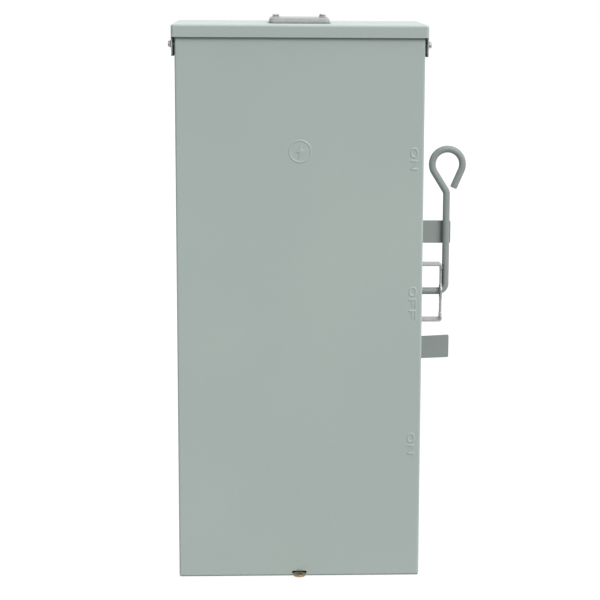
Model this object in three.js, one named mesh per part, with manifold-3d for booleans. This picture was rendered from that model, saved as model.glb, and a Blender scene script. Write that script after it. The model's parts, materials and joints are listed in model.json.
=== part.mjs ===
// Wall-mounted rainproof double-throw safety switch, in millimetres.
// +X is the handle side, -Y the front, +Z up; the origin is the middle of the back face.
import * as THREE from 'three';
import { mergeVertices } from 'three/addons/utils/BufferGeometryUtils.js';
import Module from 'manifold-3d';

const wasm = await Module();
wasm.setup();

// ---- driving dimensions -------------------------------------------------------------
const GAP = 0.3;                    // clearance between pieces that touch
const SHEET = 1.5;                  // enclosure steel

const BODY_HALF_W = 140.5;          // outside of the side walls
const BODY_FRONT = -163;            // front edge of the side walls
const BODY_BOTTOM = -322.7;         // underside of the bottom wall
const BODY_TOP = 324.2;             // top of the walls, under the cap
const RETURN_FLANGE = 10;           // stiffening flange around the front opening
const TOP_FLANGE = 12;

const COVER_HALF_W = 142.5;
const COVER_FRONT = -165;
const COVER_BOTTOM = -325;
const COVER_TOP = 316;              // hidden under the cap's lip
const COVER_FLANGE = 22;            // how far the cover wraps back
const COVER_SHEET = 1.4;
const COVER_BEND = 2.4;

const CAP_HALF_W = 146.3;
const CAP_FRONT = -168.5;
const CAP_TOP = 326;
const CAP_LIP_BOTTOM = 311.8;
const CAP_CORNER = 3.4;
const CAP_BEND = 2.6;

const EAR_BOTTOM = 290;             // the ears that carry the cover hang below the lip
const EAR_FRONT = -164.5;
const EAR_BACK = -133;
const EAR_INSIDE = 143;
const PIN_Y = -159;
const PIN_Z = 303.8;
const PIN_R = 2.5;

const SHAFT_Y = -74;                // handle shaft, along X
const SHAFT_Z = 4.5;
const ROD_R = 4.2;                  // 5/16 in round bar under its coat
const ARM_X = 177.9;                // straight arm of the handle
const ROD_BEND = 9;
const LOOP_R = 18.2;
const LOOP_Z = 154.2;               // loop centre above the shaft
const KINK_Z = 120.5;               // where the arm leans over to the loop
const HOOK_END = 23;                // straight end of the hook
const HOOK_LEAN = 23.5;             // degrees

const WALL_FACE = BODY_HALF_W + GAP;
const BUSH_R = 7.7;
const BRACKET_T = 2.2;
const BRACKET_W = 23;
const BRACKET_X = 173.4;            // outside of the bracket's leg
const BRACKET_UP = 33;              // middle of the upper bar, above the shaft
const BRACKET_DOWN = -35;
const STRAP_T = 2.4;
const STRAP_FRONT = -69.5;
const STRAP_END = 183.8;
const STRAP_H = 27.4;
const STRAP_UP = 71.7;
const STRAP_DOWN = -71.4;
const STRAP_RISE = 2.3;             // the lower strap leans up a little at its end
const STRAP_FOOT = 21;

const HUB_HALF = 35.5;
const HUB_Y = -82;
const HUB_TALL = 6.2;
const HUB_SCREW_X = 27.4;
const HUB_HOLE_R = 22;

const HASP_T = 2;
const HASP_R = 7.3;
const HASP_HOLE_R = 3.5;
const HASP_REACH = 17.5;
const HASP_NECK = 3.3;

const BASE_HALF_W = 105;
const BASE_HALF_H = 135;
const BASE_BACK = -14;
const BASE_FRONT = -24;
const POLE_X = 45;
const BLADE_T = 3;
const BLADE_HALF_W = 10;
const BLADE_LENGTH = 80;
const BLADE_EYE_R = 26;
const BAR_HALF = 10;                // square cross bar that carries the blades
const BAR_END = 84;
const JOURNAL_R = 7;
const JOURNAL_END = 94.3;
const BEARING = [85, 93];
const DOG_R = 15;
const LEAF_T = 2.4;
const LEAF_GAP = 0.4;
const COPPER_T = 2.7;
const LUG = { halfW: 11, tall: 24, long: 26, wireR: 6.5, screwR: 4 };
const LOAD_LUG_X = 76;

// ---- materials ----------------------------------------------------------------------
const finish = (name, color, roughness, metalness) => {
  const material = new THREE.MeshStandardMaterial({ color, roughness, metalness });
  material.name = name;
  return material;
};
const PAINT = finish('paint_grey_green', 0xa3b1ad, 0.45, 0.0);
const HANDLE_PAINT = finish('handle_paint', 0x98a5a0, 0.5, 0.0);
const HUB_METAL = finish('hub_cast', 0xb4bab8, 0.45, 0.6);
const ZINC = finish('zinc_plate', 0xb3aeb0, 0.35, 0.9);
const BRASS_ZINC = finish('yellow_zinc', 0xa07c48, 0.35, 0.85);
const MOULDED = finish('moulded_black', 0x26262a, 0.6, 0.0);
const INSULATOR = finish('insulator_red_brown', 0x6b3b2b, 0.6, 0.0);
const COPPER = finish('tinned_copper', 0xc08a62, 0.35, 0.9);
const ALUMINIUM = finish('aluminium', 0xc3c6c8, 0.4, 0.9);

// ---- shape helpers ------------------------------------------------------------------
function solid(geometry) {
  geometry.deleteAttribute('normal');
  geometry.deleteAttribute('uv');
  const g = mergeVertices(geometry, 1e-4);
  return new wasm.Manifold(new wasm.Mesh({
    numProp: 3,
    vertProperties: new Float32Array(g.attributes.position.array),
    triVerts: new Uint32Array(g.index.array),
  }));
}
const join = (...pieces) => pieces.reduce((a, b) => a.add(b));
const cut = (base, ...tools) => tools.reduce((a, b) => a.subtract(b), base);

function slab(x0, x1, y0, y1, z0, z1) {
  const box = new THREE.BoxGeometry(x1 - x0, y1 - y0, z1 - z0);
  return solid(box.translate((x0 + x1) / 2, (y0 + y1) / 2, (z0 + z1) / 2));
}

const BASES = {
  X: new THREE.Matrix4().makeBasis(new THREE.Vector3(0, 1, 0), new THREE.Vector3(0, 0, 1),
    new THREE.Vector3(1, 0, 0)),
  Y: new THREE.Matrix4().makeBasis(new THREE.Vector3(1, 0, 0), new THREE.Vector3(0, 0, 1),
    new THREE.Vector3(0, -1, 0)),
  Z: new THREE.Matrix4(),
};
// Extrude along +X (shape in y,z), along -Y (shape in x,z) or along +Z (shape in x,y).
function prism(axis, shape, start, length, options = {}) {
  const g = new THREE.ExtrudeGeometry(shape, {
    depth: length, bevelEnabled: false, curveSegments: 6, ...options,
  });
  g.applyMatrix4(BASES[axis]);
  const along = { X: [start, 0, 0], Y: [0, start, 0], Z: [0, 0, start] }[axis];
  return solid(g.translate(...along));
}

function rectangle(x0, x1, y0, y1, radius = 0) {
  const s = new THREE.Shape();
  if (radius === 0) {
    s.moveTo(x0, y0).lineTo(x1, y0).lineTo(x1, y1).lineTo(x0, y1).closePath();
    return s;
  }
  s.moveTo(x0 + radius, y0).lineTo(x1 - radius, y0);
  s.absarc(x1 - radius, y0 + radius, radius, -Math.PI / 2, 0);
  s.absarc(x1 - radius, y1 - radius, radius, 0, Math.PI / 2);
  s.absarc(x0 + radius, y1 - radius, radius, Math.PI / 2, Math.PI);
  s.absarc(x0 + radius, y0 + radius, radius, Math.PI, Math.PI * 1.5);
  return s;
}
function polygon(points) {
  return new THREE.Shape(points.map(([x, y]) => new THREE.Vector2(x, y)));
}
// Round bar between two stations on an axis; `at` gives the other two coordinates in order.
function bar(axis, radius, at, from, to, segments = 20) {
  const g = new THREE.CylinderGeometry(radius, radius, to - from, segments);
  const middle = (from + to) / 2;
  if (axis === 'X') g.rotateZ(-Math.PI / 2).translate(middle, at[0], at[1]);
  if (axis === 'Y') g.translate(at[0], middle, at[1]);
  if (axis === 'Z') g.rotateX(Math.PI / 2).translate(at[0], at[1], middle);
  return solid(g);
}
// Turned piece: profile points are [radius, distance along the axis]; it starts at `origin`
// and grows along `direction`.
function turned(profile, origin, direction, segments = 14) {
  const g = new THREE.LatheGeometry(profile.map(([r, h]) => new THREE.Vector2(r, h)), segments);
  const turn = new THREE.Quaternion().setFromUnitVectors(
    new THREE.Vector3(0, 1, 0), new THREE.Vector3(...direction));
  g.applyQuaternion(turn).translate(...origin);
  return solid(g);
}

const group = new THREE.Group();
group.name = 'double_throw_switch';
function piece(name, body, material) {
  const mesh = body.getMesh();
  const g = new THREE.BufferGeometry();
  g.setAttribute('position', new THREE.BufferAttribute(new Float32Array(mesh.vertProperties), 3));
  g.setIndex(new THREE.BufferAttribute(new Uint32Array(mesh.triVerts), 1));
  const flat = g.toNonIndexed();
  flat.computeVertexNormals();
  const m = new THREE.Mesh(flat, material);
  m.name = name;
  group.add(m);
}

// ---- fasteners ----------------------------------------------------------------------
const HEX_SEGMENTS = 6;
// Slotted hex washer-head screw; `origin` is the seat, `out` points away from the work.
function hexScrew(origin, out, { shankR, shank, flangeR, flatR, head }) {
  const into = out.map((c) => -c);
  const shaft = turned([[0, -0.1], [shankR, -0.1], [shankR, shank - 0.6], [shankR - 0.6, shank],
    [0, shank]], origin, into);
  const washer = turned([[0, 0], [flangeR, 0], [flangeR, 0.6], [flangeR - 0.4, 0.9], [0, 0.9]],
    origin, out);
  const hex = turned([[0, 0.5], [flatR, 0.5], [flatR, head - 0.4], [flatR - 0.5, head], [0, head]],
    origin, out, HEX_SEGMENTS);
  return join(shaft, washer, hex);
}
const RIVET = { headR: 4, head: 1.6, shankR: 2, tailR: 3.4, tail: 1.1 };
const RIVET_HOLE_R = RIVET.shankR + GAP;
// Rivet through `grip` of metal; `origin` is the outer face, `out` points away from it.
function rivet(origin, out, grip) {
  const into = out.map((c) => -c);
  const end = grip + GAP;
  const profile = [[0, -RIVET.head - GAP], [RIVET.headR * 0.6, -RIVET.head - GAP + 0.2],
    [RIVET.headR, -GAP - 0.3], [RIVET.headR, -GAP], [RIVET.shankR, -GAP], [RIVET.shankR, end],
    [RIVET.tailR, end], [RIVET.tailR, end + RIVET.tail], [0, end + RIVET.tail]];
  return turned(profile, origin, into, 12);
}

// ---- enclosure body -----------------------------------------------------------------
const SIDES = [['left', -1], ['right', 1]];
const BODY_IN = BODY_HALF_W - SHEET;
const NOTCH_Z = EAR_BOTTOM - 4;     // the walls stop here in front, clear of the swinging cover
const NOTCH_Y = -138;
const KNOCKOUTS = [
  { axis: 'Z', at: [-62, -80], face: BODY_BOTTOM, radii: [22, 14] },
  { axis: 'Z', at: [62, -80], face: BODY_BOTTOM, radii: [22, 14] },
  { axis: 'X', at: [-82, -265], face: -BODY_HALF_W, radii: [17, 11] },
  { axis: 'X', at: [-82, -265], face: BODY_HALF_W, radii: [17, 11] },
];
const SCORE = { width: 0.8, depth: 0.6 };
const MOUNT_HOLE = { z: 285, x: 90, headR: 7.5, slotHalf: 3.6, slotLong: 14, footR: 4.5 };

function sheetAcross(x0, x1, y0, y1, z0, z1) {
  return slab(Math.min(x0, x1), Math.max(x0, x1), y0, y1, z0, z1);
}
function score({ axis, at, face }, radius) {
  const inward = face > 0 ? -1 : 1;
  const ends = [face - inward, face + inward * SCORE.depth].sort((a, b) => a - b);
  return cut(bar(axis, radius, at, ...ends),
    bar(axis, radius - SCORE.width, at, ends[0] - 1, ends[1] + 1));
}
const strapRivets = [STRAP_UP, STRAP_DOWN].flatMap((rise) => [-7, 7].map((dz) => (
  { y: STRAP_FRONT + STRAP_T + STRAP_FOOT / 2, z: SHAFT_Z + rise + dz })));
const bracketRivets = [BRACKET_UP + 9, BRACKET_DOWN - 9].map((rise) => (
  { y: SHAFT_Y, z: SHAFT_Z + rise }));
const haspRivets = [-7, 7].map((x) => ({ x, y: -136 }));

let body = join(
  slab(-BODY_HALF_W, BODY_HALF_W, -SHEET, 0, BODY_BOTTOM, BODY_TOP),
  slab(-BODY_HALF_W, BODY_HALF_W, BODY_FRONT, 0, BODY_BOTTOM, BODY_BOTTOM + SHEET),
  slab(-BODY_IN, BODY_IN, BODY_FRONT, BODY_FRONT + SHEET, BODY_BOTTOM,
    BODY_BOTTOM + RETURN_FLANGE),
  slab(-BODY_HALF_W, BODY_HALF_W, -TOP_FLANGE, 0, BODY_TOP - SHEET, BODY_TOP),
  ...SIDES.flatMap(([, s]) => [
    sheetAcross(s * BODY_IN, s * BODY_HALF_W, BODY_FRONT, 0, BODY_BOTTOM, BODY_TOP),
    sheetAcross(s * (BODY_IN - RETURN_FLANGE), s * BODY_HALF_W, BODY_FRONT, BODY_FRONT + SHEET,
      BODY_BOTTOM, NOTCH_Z),
    sheetAcross(s * (BODY_HALF_W - TOP_FLANGE), s * BODY_HALF_W, NOTCH_Y, 0,
      BODY_TOP - SHEET, BODY_TOP),
  ]),
);
body = cut(body,
  ...SIDES.map(([, s]) => sheetAcross(s * (BODY_IN - 1), s * (BODY_HALF_W + 1),
    BODY_FRONT - 1, NOTCH_Y, NOTCH_Z, BODY_TOP + 1)),
  slab(-9.5, 9.5, BODY_FRONT - 1, BODY_FRONT + SHEET + 1, BODY_BOTTOM + SHEET, -315),
  bar('X', BUSH_R + GAP, [SHAFT_Y, SHAFT_Z], BODY_IN - 1, BODY_HALF_W + 1, 24),
  ...strapRivets.concat(bracketRivets).map(({ y, z }) => (
    bar('X', RIVET_HOLE_R, [y, z], BODY_IN - 1, BODY_HALF_W + 1, 14))),
  ...haspRivets.map(({ x, y }) => (
    bar('Z', RIVET_HOLE_R, [x, y], BODY_BOTTOM - 1, BODY_BOTTOM + SHEET + 1, 14))),
  ...KNOCKOUTS.flatMap((k) => k.radii.map((r) => score(k, r))),
  bar('Y', MOUNT_HOLE.headR, [0, MOUNT_HOLE.z], -SHEET - 1, 1, 24),
  slab(-MOUNT_HOLE.slotHalf, MOUNT_HOLE.slotHalf, -SHEET - 1, 1,
    MOUNT_HOLE.z, MOUNT_HOLE.z + MOUNT_HOLE.slotLong),
  ...SIDES.map(([, s]) => bar('Y', MOUNT_HOLE.footR, [s * MOUNT_HOLE.x, -MOUNT_HOLE.z],
    -SHEET - 1, 1, 20)),
);
piece('enclosure_body', body, PAINT);

// ---- top cap with drip lip and hinge ears --------------------------------------------
// Tray opening downward; the back is cut off flush with the wall face.
function capTray(inset, top, bend) {
  const half = CAP_HALF_W - inset - bend;
  const outline = rectangle(-half, half, CAP_FRONT + inset + bend, 20,
    Math.max(CAP_CORNER - inset - bend, 0.4));
  return prism('Z', outline, CAP_LIP_BOTTOM - 20, top - bend - CAP_LIP_BOTTOM + 20, {
    bevelEnabled: true, bevelSize: bend, bevelThickness: bend, bevelSegments: 3, curveSegments: 2,
  });
}
const below = slab(-200, 200, -200, 40, CAP_LIP_BOTTOM - 60, CAP_LIP_BOTTOM);
const behind = slab(-200, 200, 0, 60, CAP_LIP_BOTTOM - 70, CAP_TOP + 10);
const EAR_X = CAP_HALF_W - SHEET;
const capShell = cut(capTray(0, CAP_TOP, CAP_BEND), capTray(SHEET, CAP_TOP - SHEET, CAP_BEND - SHEET),
  below, behind);
const hubScrews = SIDES.map(([side, s]) => ({ side, x: s * HUB_SCREW_X }));
const ears = SIDES.map(([, s]) => join(
  sheetAcross(s * EAR_X, s * CAP_HALF_W, EAR_FRONT, EAR_BACK, EAR_BOTTOM, CAP_LIP_BOTTOM + 4),
  sheetAcross(s * EAR_INSIDE, s * CAP_HALF_W, EAR_FRONT, EAR_BACK,
    EAR_BOTTOM, EAR_BOTTOM + SHEET),
  sheetAcross(s * EAR_INSIDE, s * CAP_HALF_W, EAR_BACK - SHEET, EAR_BACK,
    EAR_BOTTOM, CAP_LIP_BOTTOM + 4),
));
piece('top_cap', cut(join(capShell, ...ears),
  bar('X', PIN_R + GAP, [PIN_Y, PIN_Z], -CAP_HALF_W - 1, CAP_HALF_W + 1, 18),
  bar('Z', HUB_HOLE_R, [0, HUB_Y], CAP_TOP - SHEET - 1, CAP_TOP + 1, 36),
  ...hubScrews.map(({ x }) => bar('Z', 2.6, [x, HUB_Y], CAP_TOP - SHEET - 1, CAP_TOP + 1, 14)),
), PAINT);

// ---- closing plate over the conduit hub opening --------------------------------------
const HUB_BASE = CAP_TOP + GAP;
const HUB_EDGE = { flange: 2.8, inset: 0.8, corner: 6, bevel: 2.2, wall: 1.6 };
function hubRect(half, radius) {
  return rectangle(-half, half, HUB_Y - half, HUB_Y + half, radius);
}
const raised = HUB_HALF - HUB_EDGE.inset - HUB_EDGE.bevel;
const hubTop = cut(prism('Z', hubRect(raised, HUB_EDGE.corner - 2), HUB_BASE - 10,
  10 + HUB_TALL - GAP - HUB_EDGE.bevel, {
    bevelEnabled: true, bevelSize: HUB_EDGE.bevel, bevelThickness: HUB_EDGE.bevel,
    bevelSegments: 2, curveSegments: 2,
  }), slab(-60, 60, HUB_Y - 60, HUB_Y + 60, HUB_BASE - 30, HUB_BASE));
const hubHollow = prism('Z', hubRect(raised, HUB_EDGE.corner - 2), HUB_BASE - 1,
  1 + HUB_TALL - GAP - HUB_EDGE.wall - 0.4, { curveSegments: 2 });
piece('hub_plate', cut(
  join(prism('Z', hubRect(HUB_HALF, HUB_EDGE.corner), HUB_BASE, HUB_EDGE.flange,
    { curveSegments: 2 }), hubTop),
  cut(hubHollow, ...hubScrews.map(({ x }) => bar('Z', 5.2, [x, HUB_Y], 300, 340, 16))),
  ...hubScrews.map(({ x }) => bar('Z', 2.6, [x, HUB_Y], 300, 340, 14)),
), HUB_METAL);
hubScrews.forEach(({ side, x }) => piece(`hub_screw_${side}`,
  hexScrew([x, HUB_Y, CAP_TOP + HUB_TALL + GAP], [0, 0, 1],
    { shankR: 2.2, shank: 15, flangeR: 4.6, flatR: 3.9, head: 3.6 }), ZINC));

// ---- hinge screws: hex head outside the ear, nut inside the cover flange --------------
SIDES.forEach(([side, s]) => {
  const seat = CAP_HALF_W + GAP;
  const screw = hexScrew([s * seat, PIN_Y, PIN_Z], [s, 0, 0],
    { shankR: PIN_R, shank: seat - 135.5, flangeR: 4.4, flatR: 3.9, head: 3.1 });
  const nut = turned([[0, 0], [4.05, 0], [4.05, 3.6], [0, 3.6]], [s * 137, PIN_Y, PIN_Z],
    [s, 0, 0], HEX_SEGMENTS);
  piece(`hinge_screw_${side}`, join(screw, nut), ZINC);
});

// ---- front cover ----------------------------------------------------------------------
function coverTray(inset, bend) {
  const half = COVER_HALF_W - inset - bend;
  const outline = rectangle(-half, half, COVER_BOTTOM + inset + bend, COVER_TOP + 20);
  const front = COVER_FRONT + inset;
  return prism('Y', outline, front + bend + 60, 60, {
    bevelEnabled: true, bevelSize: bend, bevelThickness: bend, bevelSegments: 3,
  });
}
const coverShell = cut(coverTray(0, COVER_BEND), coverTray(COVER_SHEET, COVER_BEND - COVER_SHEET),
  slab(-200, 200, COVER_FRONT + COVER_FLANGE, 0, -400, 400),
  slab(-200, 200, -200, 0, COVER_TOP, 400));

// Raised marks, drawn in the cover's plane.
const EMBOSS = 0.55;
const STROKE = 1.8;
const LETTER_TALL = 8.8;            // across the cover, since the words read downward
const LETTER_LONG = { O: 11.6, N: 11.4, F: 11 };
const LETTER_SPACE = 2.6;
const LABEL_X = 131.2;
const LABELS = [['ON', 174], ['OFF', 5.5], ['ON', -163]];
const raise = (shape, curveSegments = 8) => prism('Y', shape, COVER_FRONT + 0.5,
  0.5 + EMBOSS, { curveSegments });
// Letters stand with their tops toward +X; u runs down the cover, v toward +X.
function letter(character, zTop) {
  const long = LETTER_LONG[character];
  const place = (u, v) => [LABEL_X - LETTER_TALL / 2 + v, zTop - u];
  const block = (u0, u1, v0, v1) => raise(polygon(
    [place(u0, v0), place(u0, v1), place(u1, v1), place(u1, v0)]));
  if (character === 'O') {
    const [x, z] = place(long / 2, LETTER_TALL / 2);
    const ring = new THREE.Shape();
    ring.absellipse(x, z, LETTER_TALL / 2, long / 2, 0, Math.PI * 2);
    const hole = new THREE.Path();
    hole.absellipse(x, z, LETTER_TALL / 2 - STROKE, long / 2 - STROKE, 0, Math.PI * 2);
    ring.holes.push(hole);
    return raise(ring, 9);
  }
  if (character === 'N') {
    return join(block(0, STROKE, 0, LETTER_TALL), block(long - STROKE, long, 0, LETTER_TALL),
      raise(polygon([place(0, LETTER_TALL), place(STROKE * 1.4, LETTER_TALL), place(long, 0),
        place(long - STROKE * 1.4, 0)])));
  }
  return join(block(0, STROKE, 0, LETTER_TALL), block(0, long, LETTER_TALL - STROKE, LETTER_TALL),
    block(0, long * 0.8, LETTER_TALL / 2 - STROKE / 2, LETTER_TALL / 2 + STROKE / 2));
}
function label(word, zMiddle) {
  const longs = [...word].map((c) => LETTER_LONG[c]);
  const total = longs.reduce((a, b) => a + b) + LETTER_SPACE * (word.length - 1);
  let z = zMiddle + total / 2;
  return [...word].map((c, i) => {
    const body = letter(c, z);
    z -= longs[i] + LETTER_SPACE;
    return body;
  });
}
// Round badge: a raised rim and a plain lightning bolt.
const BADGE = { z: 182.4, r: 13, rim: 1.3 };
const BOLT = [[2.5, 9], [-5, -1.5], [-0.8, -1.5], [-2.5, -9], [5, 1.5], [0.8, 1.5]];
const rim = new THREE.Shape().absarc(0, BADGE.z, BADGE.r, 0, Math.PI * 2);
rim.holes.push(new THREE.Path().absarc(0, BADGE.z, BADGE.r - BADGE.rim, 0, Math.PI * 2));
const SLOT = { half: 8.75, z0: -322, z1: -318.6 };
const slotShape = rectangle(-SLOT.half, SLOT.half, SLOT.z0, SLOT.z1, 1.6);
piece('front_cover', cut(
  join(coverShell, ...LABELS.flatMap(([word, z]) => label(word, z)), raise(rim, 12),
    raise(polygon(BOLT.map(([x, z]) => [x, z + BADGE.z])))),
  prism('Y', slotShape, COVER_FRONT + 4, 8, { curveSegments: 2 }),
  bar('X', PIN_R + GAP, [PIN_Y, PIN_Z], -COVER_HALF_W - 1, COVER_HALF_W + 1, 18),
), PAINT);

const STIFF = { halfW: 110, z: -150, tall: 7, face: 9, foot: 9 };
const stiffBack = COVER_FRONT + COVER_SHEET + GAP;
piece('cover_stiffener', prism('X', polygon([
  [stiffBack, STIFF.z - STIFF.face - STIFF.foot],
  [stiffBack + SHEET, STIFF.z - STIFF.face - STIFF.foot],
  [stiffBack + SHEET, STIFF.z - STIFF.face], [stiffBack + STIFF.tall, STIFF.z - STIFF.face + 2],
  [stiffBack + STIFF.tall, STIFF.z + STIFF.face - 2], [stiffBack + SHEET, STIFF.z + STIFF.face],
  [stiffBack + SHEET, STIFF.z + STIFF.face + STIFF.foot],
  [stiffBack, STIFF.z + STIFF.face + STIFF.foot], [stiffBack, STIFF.z + STIFF.face - SHEET],
  [stiffBack + STIFF.tall - SHEET, STIFF.z + STIFF.face - SHEET - 2],
  [stiffBack + STIFF.tall - SHEET, STIFF.z - STIFF.face + SHEET + 2],
  [stiffBack, STIFF.z - STIFF.face + SHEET],
]), -STIFF.halfW, STIFF.halfW * 2), PAINT);

// ---- padlock hasp through the cover's bottom slot --------------------------------------
const HASP_Z = BODY_BOTTOM + SHEET + GAP;
const ringY = COVER_FRONT - HASP_REACH + HASP_R;
const haspSheet = join(
  slab(-12, 12, -161, -128, HASP_Z, HASP_Z + HASP_T),
  slab(-HASP_NECK, HASP_NECK, ringY + 2, -160, HASP_Z, HASP_Z + HASP_T),
  bar('Z', HASP_R, [0, ringY], HASP_Z, HASP_Z + HASP_T, 28),
);
piece('padlock_hasp', cut(haspSheet,
  bar('Z', HASP_HOLE_R, [0, ringY], HASP_Z - 1, HASP_Z + HASP_T + 1, 20),
  ...haspRivets.map(({ x, y }) => (
    bar('Z', RIVET_HOLE_R, [x, y], HASP_Z - 1, HASP_Z + HASP_T + 1, 14))),
), BRASS_ZINC);
haspRivets.forEach(({ x, y }, i) => piece(`hasp_rivet_${i + 1}`,
  rivet([x, y, HASP_Z + HASP_T], [0, 0, 1], HASP_T + GAP + SHEET), ZINC));

// ---- handle: one bent round bar ---------------------------------------------------------
// The extrusion steps exactly through the given vertices.
class Route extends THREE.Curve {
  constructor(points) {
    super();
    this.points = points;
  }
  getPoint(t, target = new THREE.Vector3()) {
    const last = this.points.length - 1;
    const i = Math.min(Math.floor(t * last + 1e-9), last - 1);
    return target.lerpVectors(this.points[i], this.points[i + 1], t * last - i);
  }
  getPointAt(u, target) {
    return this.getPoint(u, target);
  }
  getSpacedPoints(divisions) {
    return Array.from({ length: divisions + 1 }, (_, i) => this.getPoint(i / divisions));
  }
  getTangentAt(u, target = new THREE.Vector3()) {
    const last = this.points.length - 1;
    const i = Math.round(u * last);
    const a = this.points[Math.max(i - 1, 0)];
    const b = this.points[i];
    const c = this.points[Math.min(i + 1, last)];
    const before = new THREE.Vector3().subVectors(b, a).normalize();
    const after = new THREE.Vector3().subVectors(c, b).normalize();
    return target.addVectors(before, after).normalize();
  }
}
const ROD_START = 101.5;
const leanPoint = new THREE.Vector2(ARM_X, KINK_Z);
const loopCentre = new THREE.Vector2(ARM_X + 0.5, LOOP_Z);
const toLoop = new THREE.Vector2().subVectors(loopCentre, leanPoint);
const tangentLength = Math.sqrt(toLoop.lengthSq() - LOOP_R ** 2);
const leanAngle = toLoop.angle() + Math.asin(LOOP_R / toLoop.length());
const touch = leanPoint.clone().add(new THREE.Vector2(
  tangentLength * Math.cos(leanAngle), tangentLength * Math.sin(leanAngle)));
const flatPath = [];
const put = (x, z) => flatPath.push(new THREE.Vector3(x, SHAFT_Y, SHAFT_Z + z));
const arc = (cx, cz, r, from, to, steps) => {
  for (let i = 0; i <= steps; i += 1) {
    const a = from + ((to - from) * i) / steps;
    put(cx + r * Math.cos(a), cz + r * Math.sin(a));
  }
};
put(ROD_START, 0);
put(150, 0);
arc(ARM_X - ROD_BEND, ROD_BEND, ROD_BEND, -Math.PI / 2, 0, 7);
put(ARM_X, 60);
const KINK_R = 10;
const lean = leanAngle - Math.PI / 2;
const kinkStart = KINK_Z - KINK_R * Math.tan(lean / 2);
arc(ARM_X - KINK_R, kinkStart, KINK_R, 0, lean, 4);
const startAngle = touch.clone().sub(loopCentre).angle();
const hookLean = THREE.MathUtils.degToRad(HOOK_LEAN);
arc(loopCentre.x, loopCentre.y, LOOP_R, startAngle, -hookLean, 20);
const end = flatPath[flatPath.length - 1];
flatPath.push(end.clone().add(new THREE.Vector3(
  -HOOK_END * Math.sin(hookLean), 0, -HOOK_END * Math.cos(hookLean))));
const rodSection = new THREE.Shape().absarc(0, 0, ROD_R, 0, Math.PI * 2);
const rodGeometry = new THREE.ExtrudeGeometry(rodSection, {
  extrudePath: new Route(flatPath), steps: flatPath.length - 1, curveSegments: 8,
});
piece('handle_rod', solid(rodGeometry), HANDLE_PAINT);

function ringOnShaft(outerR, from, to) {
  return cut(bar('X', outerR, [SHAFT_Y, SHAFT_Z], from, to, 24),
    bar('X', ROD_R + GAP, [SHAFT_Y, SHAFT_Z], from - 1, to + 1, 20));
}
piece('shaft_collar', ringOnShaft(8, 128, 133), ZINC);
piece('shaft_bushing', cut(
  join(bar('X', BUSH_R, [SHAFT_Y, SHAFT_Z], 134, WALL_FACE + 1, 24),
    bar('X', 12, [SHAFT_Y, SHAFT_Z], WALL_FACE, WALL_FACE + 3, 24)),
  bar('X', ROD_R + GAP, [SHAFT_Y, SHAFT_Z], 130, 150, 20),
), ZINC);

// ---- guide bracket around the shaft -------------------------------------------------------
const barUp = SHAFT_Z + BRACKET_UP + BRACKET_T / 2;
const barDown = SHAFT_Z + BRACKET_DOWN - BRACKET_T / 2;
const FOOT = 17;
const bentStrip = prism('Y', polygon([
  [WALL_FACE, barUp + FOOT], [WALL_FACE, barUp - BRACKET_T],
  [BRACKET_X - BRACKET_T, barUp - BRACKET_T], [BRACKET_X - BRACKET_T, barDown + BRACKET_T],
  [WALL_FACE, barDown + BRACKET_T], [WALL_FACE, barDown - FOOT],
  [WALL_FACE + BRACKET_T, barDown - FOOT], [WALL_FACE + BRACKET_T, barDown],
  [BRACKET_X - 2.2, barDown], [BRACKET_X - 0.6, barDown + 0.6], [BRACKET_X, barDown + 2.2],
  [BRACKET_X, barUp - 2.2], [BRACKET_X - 0.6, barUp - 0.6], [BRACKET_X - 2.2, barUp],
  [WALL_FACE + BRACKET_T, barUp], [WALL_FACE + BRACKET_T, barUp + FOOT],
]), SHAFT_Y + BRACKET_W / 2, BRACKET_W);
const NECK = 6;
const WIDE = BRACKET_W / 2 + 1;
const neckZ = [barDown + 6, barUp - 6];
const stripOutline = join(
  slab(100, 200, SHAFT_Y - WIDE, SHAFT_Y + WIDE, neckZ[1], barUp + 40),
  slab(100, 200, SHAFT_Y - WIDE, SHAFT_Y + WIDE, barDown - 40, neckZ[0]),
  slab(100, 200, SHAFT_Y - NECK, SHAFT_Y + NECK, neckZ[0] - 1, neckZ[1] + 1),
  bar('X', 11, [SHAFT_Y, SHAFT_Z], 100, 200, 28),
);
piece('guide_bracket', cut(bentStrip.intersect(stripOutline),
  bar('X', 7.9, [SHAFT_Y, SHAFT_Z], 160, 190, 24),
  ...bracketRivets.map(({ y, z }) => bar('X', RIVET_HOLE_R, [y, z], 130, 150, 14)),
), ZINC);
bracketRivets.forEach(({ y, z }, i) => piece(`bracket_rivet_${i + 1}`,
  rivet([WALL_FACE + BRACKET_T, y, z], [1, 0, 0], BRACKET_T + GAP + SHEET), ZINC));

// ---- stop straps above and below -----------------------------------------------------------
function stopStrap(rise, lean) {
  const z = SHAFT_Z + rise;
  const r = 1.6;
  const outline = new THREE.Shape();
  outline.moveTo(WALL_FACE, z - STRAP_H / 2);
  outline.lineTo(STRAP_END - r, z - STRAP_H / 2 + lean * 0.7);
  outline.quadraticCurveTo(STRAP_END, z - STRAP_H / 2 + lean * 0.7,
    STRAP_END, z - STRAP_H / 2 + r + lean * 0.7);
  outline.lineTo(STRAP_END, z + STRAP_H / 2 - r + lean);
  outline.quadraticCurveTo(STRAP_END, z + STRAP_H / 2 + lean,
    STRAP_END - r, z + STRAP_H / 2 + lean);
  outline.lineTo(WALL_FACE, z + STRAP_H / 2);
  outline.closePath();
  const plate = prism('Y', outline, STRAP_FRONT + STRAP_T, STRAP_T, { curveSegments: 4 });
  const foot = slab(WALL_FACE, WALL_FACE + STRAP_T, STRAP_FRONT + 0.5,
    STRAP_FRONT + STRAP_T + STRAP_FOOT, z - STRAP_H / 2, z + STRAP_H / 2);
  return cut(join(plate, foot), ...strapRivets.map((at) => (
    bar('X', RIVET_HOLE_R, [at.y, at.z], 130, 150, 14))));
}
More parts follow.
